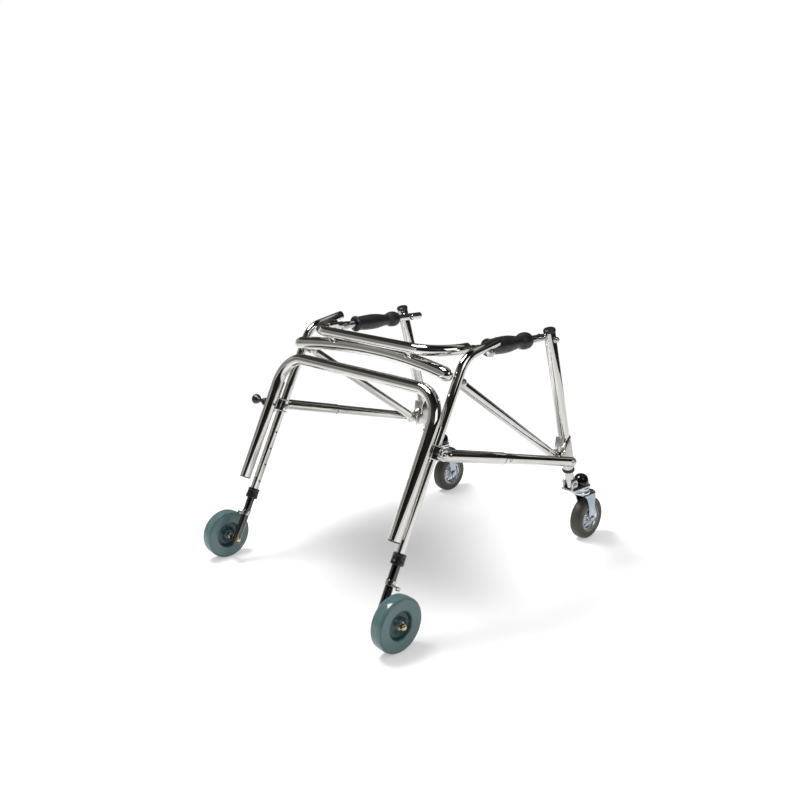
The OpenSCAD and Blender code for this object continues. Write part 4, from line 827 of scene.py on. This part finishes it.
# caster stems, arms and domes
caster = {"arm": 164.0, "armThick": 5.0, "crown": 140.0,
          "radius": 59.0, "half": 15.5, "rim": 33.0, "sheet": 2.5,
          "stem": 11.0, "stemUp": 7.0, "stemHidden": 130.0, "boltUp": 12.0, "boltHalf": 15.0,
          "earX": 13.0, "earThick": 4.0, "wingThick": 3.4, "wingOut": 23.5, "wingTurn": 28.0,
          "ear": [(-13, -0.5), (13, -0.5), (13, 14, 3), (8, 26, 7), (-12, 26, 7), (-13, 14, 3)],
          "wing": [(-3, -3.2), (3, -3.2), (9.5, -2, 1.5), (11, 1.8, 1.5), (4, 3.4, 1.5), (-4, 3.4, 1.5),
                   (-11, 1.8, 1.5), (-9.5, -2, 1.5)],
          "dome": [(0, 27.6), (9, 26.2, 4), (14.6, 21.4, 4), (17.4, 14.6, 4), (18, 3), (18, 0),
                   (20.8, 0, 0.5), (20.8, 8, 2), (19.8, 16, 6), (16.6, 23.4, 6), (10, 28.4, 6), (0, 30)]}
armZ, stemFoot = caster["arm"], caster["arm"] + caster["stemUp"]
stemLength = (post["foot"] - stemFoot) / cos(radians(postLean)) + caster["stemHidden"]
stemTube = tube(caster["stem"], Vector((postX, *postPoint(stemFoot))), postUp, [(stemLength,)], mouth=3)
addPair("casterStem", stemTube, chromePlate, "stem", "caster_stem")
stemBolt = postPoint(armZ + caster["boltUp"])
armBack = postPoint(armZ)[0] - 14
armPlate = plate([(postX - 21, armBack, 3), (postX + 21, armBack, 3), (postX + 23, swivelY, 10),
                  (postX + 23, swivelY + 23, 22.5), (postX - 23, swivelY + 23, 22.5),
                  (postX - 23, swivelY, 10)], caster["armThick"], 0.9)
shift(armPlate, 0, 0, armZ - caster["armThick"])
ears = [sidePlate(caster["ear"], postX + inner * caster["earX"] - caster["earThick"] / 2,
                  caster["earThick"], 0.8, (stemBolt[0], armZ)) for inner in (-1, 1)]
clampBolt = crossBolt(stemBolt, postX - caster["boltHalf"], postX + caster["boltHalf"])
addPair("casterArm", join(armPlate, *ears, clampBolt), zincSteel, "stem", "caster_arm")
wing = place(plate(caster["wing"], caster["wingThick"], 0.6),
             alongX(postX - caster["wingOut"], stemBolt) @ turned(caster["wingTurn"], "Z"))
addPair("stemWing", wing, zincSteel, "stem")
addPair("casterDome", place(lathe(caster["dome"], 64), moved(postX, swivelY, armZ)),
        glossBlack, "stem", "caster_dome", 60)

# caster forks: a bent sheet with arched legs; a row is (x, height over the axle, rear edge, front edge)
fork = {"legX": 19.5, "crownX": 8.5, "crownRear": -52.5, "front": 11.5, "eye": 9.6,
        "rows": [(11.9, 80.5, -51.5, 11.5), (15, 79, -49, 11.5), (17.4, 76.7, -45.5, 11.5),
                 (19, 73.6, -41, 11.5), (19.5, 70.3, -35.5, 11.5), (19.5, 66, -30.5, 11.5),
                 (19.5, 60, -26, 11.5), (19.5, 52, -22, 11.5), (19.5, 43, -18.6, 11.4),
                 (19.5, 30, -15.6, 11.2), (19.5, 17, -13, 10.8), (19.5, 7, -11, 10.2), (19.5, 0, -9.6, 9.6)],
        "race": [(0, 0), (17, 0), (25, 0.4, 1), (25.6, 4.6, 1.6), (23.4, 8.2, 1.6), (19.4, 9, 0.6),
                 (19.4, 10.4, 0.4), (23, 11.2, 1), (23.8, 15.6, 1.6), (21, 18.6, 1), (0, 18.6)],
        "kingpin": (6, 18, 0.8), "kingNut": (10, 8), "kingNutUp": 9.6, "kingDrop": 9.0}
y0, z0 = casterAxle
sheet = bmesh.new()
crownCorners = ((-fork["crownX"], fork["crownRear"]), (fork["crownX"], fork["crownRear"]),
                (fork["crownX"], fork["front"]), (-fork["crownX"], fork["front"]))
crown = [sheet.verts.new((x, y0 + y, caster["crown"])) for x, y in crownCorners]
sheet.faces.new(crown)
for way, rear, front in ((-1, crown[0], crown[3]), (1, crown[1], crown[2])):
    edge = sheet.edges.get((rear, front))
    for x, up, rearY, frontY in fork["rows"]:
        grown = bmesh.ops.extrude_edge_only(sheet, edges=[edge])["geom"]
        rear, front = sorted(vertsOf(grown), key=lambda v: v.co.y)
        for vert, y in ((rear, rearY), (front, frontY)):
            bmesh.ops.translate(sheet, verts=[vert], vec=Vector((way * x, y0 + y, z0 + up)) - vert.co)
        edge = sheet.edges.get((rear, front))
bmesh.ops.recalc_face_normals(sheet, faces=sheet.faces)
if sum(f.normal.z * f.calc_area() for f in sheet.faces) < 0:
    bmesh.ops.reverse_faces(sheet, faces=sheet.faces)
bmesh.ops.solidify(sheet, geom=sheet.faces[:], thickness=caster["sheet"])
closeUp(sheet)
soften(sheet, 0.5, 2, 60)
shift(sheet, postX, 0, 0)
legEyes = [setAcross(disc(fork["eye"], caster["sheet"], 0.6), postX + x, casterAxle)
           for x in (-fork["legX"], fork["legX"] - caster["sheet"])]
addPair("casterFork", join(sheet, *legEyes), blueZinc, "caster", "caster_fork", 40)
kingpin = join(disc(*fork["kingpin"]), shift(hexagon(*fork["kingNut"]), 0, 0, fork["kingNutUp"]))
race = join(place(lathe(fork["race"], 64), moved(postX, swivelY, caster["crown"])),
            place(kingpin, moved(postX, swivelY, armZ - fork["kingDrop"])))
addPair("casterRace", race, brightZinc, "caster")

# caster wheels: a round-edged tyre with a pale band, and a pressed rim with ribs
casterRim = {"ribs": 12, "ribThick": 1.8, "rib": [(10.6, 4), (28, 4), (28, 7.5, 0.8), (11, 11.5, 0.8)]}
onCaster = alongX(postX, casterAxle)
r, h, c = caster["radius"], caster["half"], caster["rim"]
treadSide = [(c + 5.6, h - 0.2), (r - 6, h, 2.5), (r - 1.5, h - 3.6, 3.5), (r, h - 9, 5)]
tread = lathe(flipped(treadSide) + treadSide[::-1] + [(c + 5, 0)], 96, True)
addPair("casterTyre", place(tread, onCaster), casterRubber, "caster_wheel", "caster_tyre")
bandLine = [(c, h - 1.2), (c + 1.4, h + 0.1, 0.5), (c + 5, h + 0.2, 0.8), (c + 5.9, h - 0.5),
            (c + 5.6, 3), (c, 3)]
bands = join(lathe(flipped(bandLine), 96, True), lathe(bandLine, 96, True))
addPair("casterBand", place(bands, onCaster), bandRubber, "caster_wheel")
rimSide = [(c + 0.2, 13.0), (c - 1.6, 13.3, 0.5), (c - 3.2, 11.5, 1), (c - 5.5, 5, 2), (15, 4.2, 2),
           (11, 9, 2.5), (10.5, 16.4, 0.8), (4.1, 16.6)]
rim = lathe(flipped(rimSide) + rimSide[::-1], 72, True)
spokes = []
for k in range(casterRim["ribs"]):
    for side in (-1, 1):
        fin = shift(plate(casterRim["rib"], casterRim["ribThick"], 0.3, 1), 0, 0, -casterRim["ribThick"] / 2)
        spokes.append(place(fin, turned(360 * k / casterRim["ribs"], "Z") @ turned(90 * side, "X")))
addPair("casterRim", place(join(rim, *spokes), onCaster), brightZinc, "caster_wheel", "caster_rim")
addPair("casterAxle", crossBolt(casterAxle, postX - fork["legX"], postX + fork["legX"]),
        zincSteel, "caster", "caster_axle")
print("casters made")

# camera; lengths from here on are metres
lens = {"azimuth": 46.3, "elevation": 14.5, "distance": 2.118, "target": (0, -0.0699, 0.428), "focal": 37.94}
bpy.context.scene.camera = bpy.data.objects.new("camera", bpy.data.cameras.new("camera"))
camera = bpy.context.scene.camera
bpy.context.scene.collection.objects.link(camera)
camera.data.lens, camera.data.sensor_width = lens["focal"], 36
az, el = radians(lens["azimuth"]), radians(lens["elevation"])
look = Vector((-sin(az) * cos(el), cos(az) * cos(el), -sin(el)))
camera.location = Vector(lens["target"]) - look * lens["distance"]
camera.rotation_euler = look.to_track_quat("-Z", "Y").to_euler()
camera.data.clip_end = 60

# stage: white world, pale floor with a painted soft grey shadow pool, studio flags and lamps
stageLook = {"paintedShadow": (-0.02, -0.03, 0), "paintedShadowRadius": 0.5, "paintedShadowStretch": 1.35, "paintedShadowGrey": 0.48,
             "fadeFrom": 0.75, "fadeTo": 1.5, "floorSize": 24,
             "floorGlow": 0.2, "glowLevel": 1.75, "world": 0.46}


def seenRays(tree):
    path = tree.nodes.new("ShaderNodeLightPath")
    first, second = tree.nodes.new("ShaderNodeMath"), tree.nodes.new("ShaderNodeMath")
    first.operation = second.operation = "MAXIMUM"
    link(tree, path, "Is Camera Ray", first, 0)
    link(tree, path, "Is Glossy Ray", first, 1)
    link(tree, first, 0, second, 0)
    link(tree, path, "Is Transmission Ray", second, 1)
    return second


def howFar(tree, where):
    away = tree.nodes.new("ShaderNodeVectorMath")
    away.operation = "LENGTH"
    link(tree, where, "Vector", away, 0)
    return away


def bareMaterial(name):
    mat = bpy.data.materials.new(name)
    mat.use_nodes = True
    mat.node_tree.nodes.remove(mat.node_tree.nodes["Principled BSDF"])
    return mat, mat.node_tree


def flatSheet(name, width, depth):
    mesh = bpy.data.meshes.new(name)
    bm = bmesh.new()
    bmesh.ops.create_grid(bm, x_segments=1, y_segments=1, size=0.5)
    bmesh.ops.scale(bm, vec=(width, depth, 1), verts=bm.verts)
    bm.to_mesh(mesh)
    bm.free()
    sheet = bpy.data.objects.new(name, mesh)
    bpy.context.scene.collection.objects.link(sheet)
    return sheet


world = bpy.data.worlds.new("studio")
bpy.context.scene.world = world
world.use_nodes = True
tree = world.node_tree
sky = tree.nodes["Background"]
sky.inputs["Color"].default_value = (1, 1, 1, 1)
link(tree, spread(tree, seenRays(tree), 0, stageLook["world"], 1.0, 0, 1), "Result", sky, "Strength")

# the floor carries a painted soft shadow pool under the object, and fades out far from the object
floor = flatSheet("floor", stageLook["floorSize"], stageLook["floorSize"])
mat, tree = bareMaterial("paleFloor")
where = objectPoint(tree, (1, stageLook["paintedShadowStretch"], 1), (0, 0, radians(lens["azimuth"])))
where.vector_type = "TEXTURE"
where.inputs["Location"].default_value = stageLook["paintedShadow"]
away = howFar(tree, where)
# painted shadow: grey at the middle, rising smoothly to white at its radius
paintedShadow = spread(tree, away, "Value", 0.0, 1.0, 0.0, stageLook["paintedShadowRadius"])
paintedShadow.interpolation_type = "SMOOTHSTEP"
paintedShadowColour = (stageLook["paintedShadowGrey"],) * 3
shade = tints(tree, paintedShadow, "Result", [(0.0, paintedShadowColour), (1.0, (1, 1, 1))])
flatLight, glow = tree.nodes.new("ShaderNodeBsdfDiffuse"), tree.nodes.new("ShaderNodeEmission")
link(tree, shade, "Color", flatLight, "Color")
link(tree, shade, "Color", glow, "Color")
glow.inputs["Strength"].default_value = stageLook["glowLevel"]
blend = tree.nodes.new("ShaderNodeMixShader")
link(tree, spread(tree, seenRays(tree), 0, 0.0, stageLook["floorGlow"], 0, 1), "Result", blend, "Fac")
link(tree, flatLight, 0, blend, 1)
link(tree, glow, 0, blend, 2)
clear, fade = tree.nodes.new("ShaderNodeBsdfTransparent"), tree.nodes.new("ShaderNodeMixShader")
edgeFade = spread(tree, away, "Value", 0.0, 1.0, stageLook["fadeFrom"], stageLook["fadeTo"])
link(tree, edgeFade, "Result", fade, "Fac")
link(tree, blend, 0, fade, 1)
link(tree, clear, 0, fade, 2)
link(tree, fade, 0, tree.nodes["Material Output"], "Surface")
floor.data.materials.append(mat)


# studio flags, seen only in polished metal: place, (tilt, turn), size, colour of the middle and of the rim
def flag(name, spot, turns, size, middle, rim):
    card = flatSheet(name, *size)
    card.location, card.rotation_euler = spot, (radians(turns[0]), 0, radians(turns[1]))
    mat, tree = bareMaterial(name)
    glow = tree.nodes.new("ShaderNodeEmission")
    away = howFar(tree, objectPoint(tree, (2 / size[0], 2 / size[1], 0)))
    link(tree, tints(tree, away, "Value", [(0.25, middle), (1.0, rim)]), "Color", glow, "Color")
    link(tree, glow, 0, tree.nodes["Material Output"], "Surface")
    card.data.materials.append(mat)
    card.visible_camera = card.visible_diffuse = card.visible_shadow = False
    card.visible_transmission = False


darkFelt, darkRim = (0.012, 0.011, 0.010), (0.030, 0.026, 0.021)
flag("ceilingFlag", (0, 0, 2.75), (0, 0), (10, 10), darkFelt, (0.10, 0.096, 0.088))
flag("topStrip", (0, 1.15, 2.6), (0, 0), (3.2, 0.9), (0.62, 0.61, 0.59), (0.30, 0.295, 0.28))
flag("leftFlag", (-2.9, -2.6, 1.0), (90, -46), (4.2, 2.6), (0.26, 0.255, 0.24), (0.50, 0.49, 0.47))
flag("rearFlag", (1.4, -3.3, 1.2), (90, 0), (4.6, 2.6), darkFelt, darkRim)
flag("frontFlag", (2.5, 4.0, 1.2), (90, 0), (3.6, 2.6), darkFelt, darkRim)
flag("backFlag", (-1.3, 1.25, 0.75), (90, 46), (4.8, 1.5), (0.05, 0.048, 0.045), (0.16, 0.155, 0.145))
flag("rightFlag", (3.5, 0.3, 1.2), (90, 90), (7.4, 2.6), darkFelt, darkRim)


def lamp(name, spot, aim, size, power):
    light = bpy.data.lights.new(name, "AREA")
    light.shape, light.size, light.size_y, light.energy = "RECTANGLE", size[0], size[1], power
    holder = bpy.data.objects.new(name, light)
    bpy.context.scene.collection.objects.link(holder)
    holder.location = spot
    holder.rotation_euler = (Vector(aim) - Vector(spot)).to_track_quat("-Z", "Y").to_euler()


lamp("keyLamp", (-0.7, -0.6, 2.4), (0, 0, 0.2), (0.9, 0.8), 54)
lamp("fillLamp", (2.6, -0.4, 1.9), (0, 0, 0.3), (1.6, 1.6), 15)
bpy.context.scene.view_settings.view_transform = "Standard"
print("stage made")
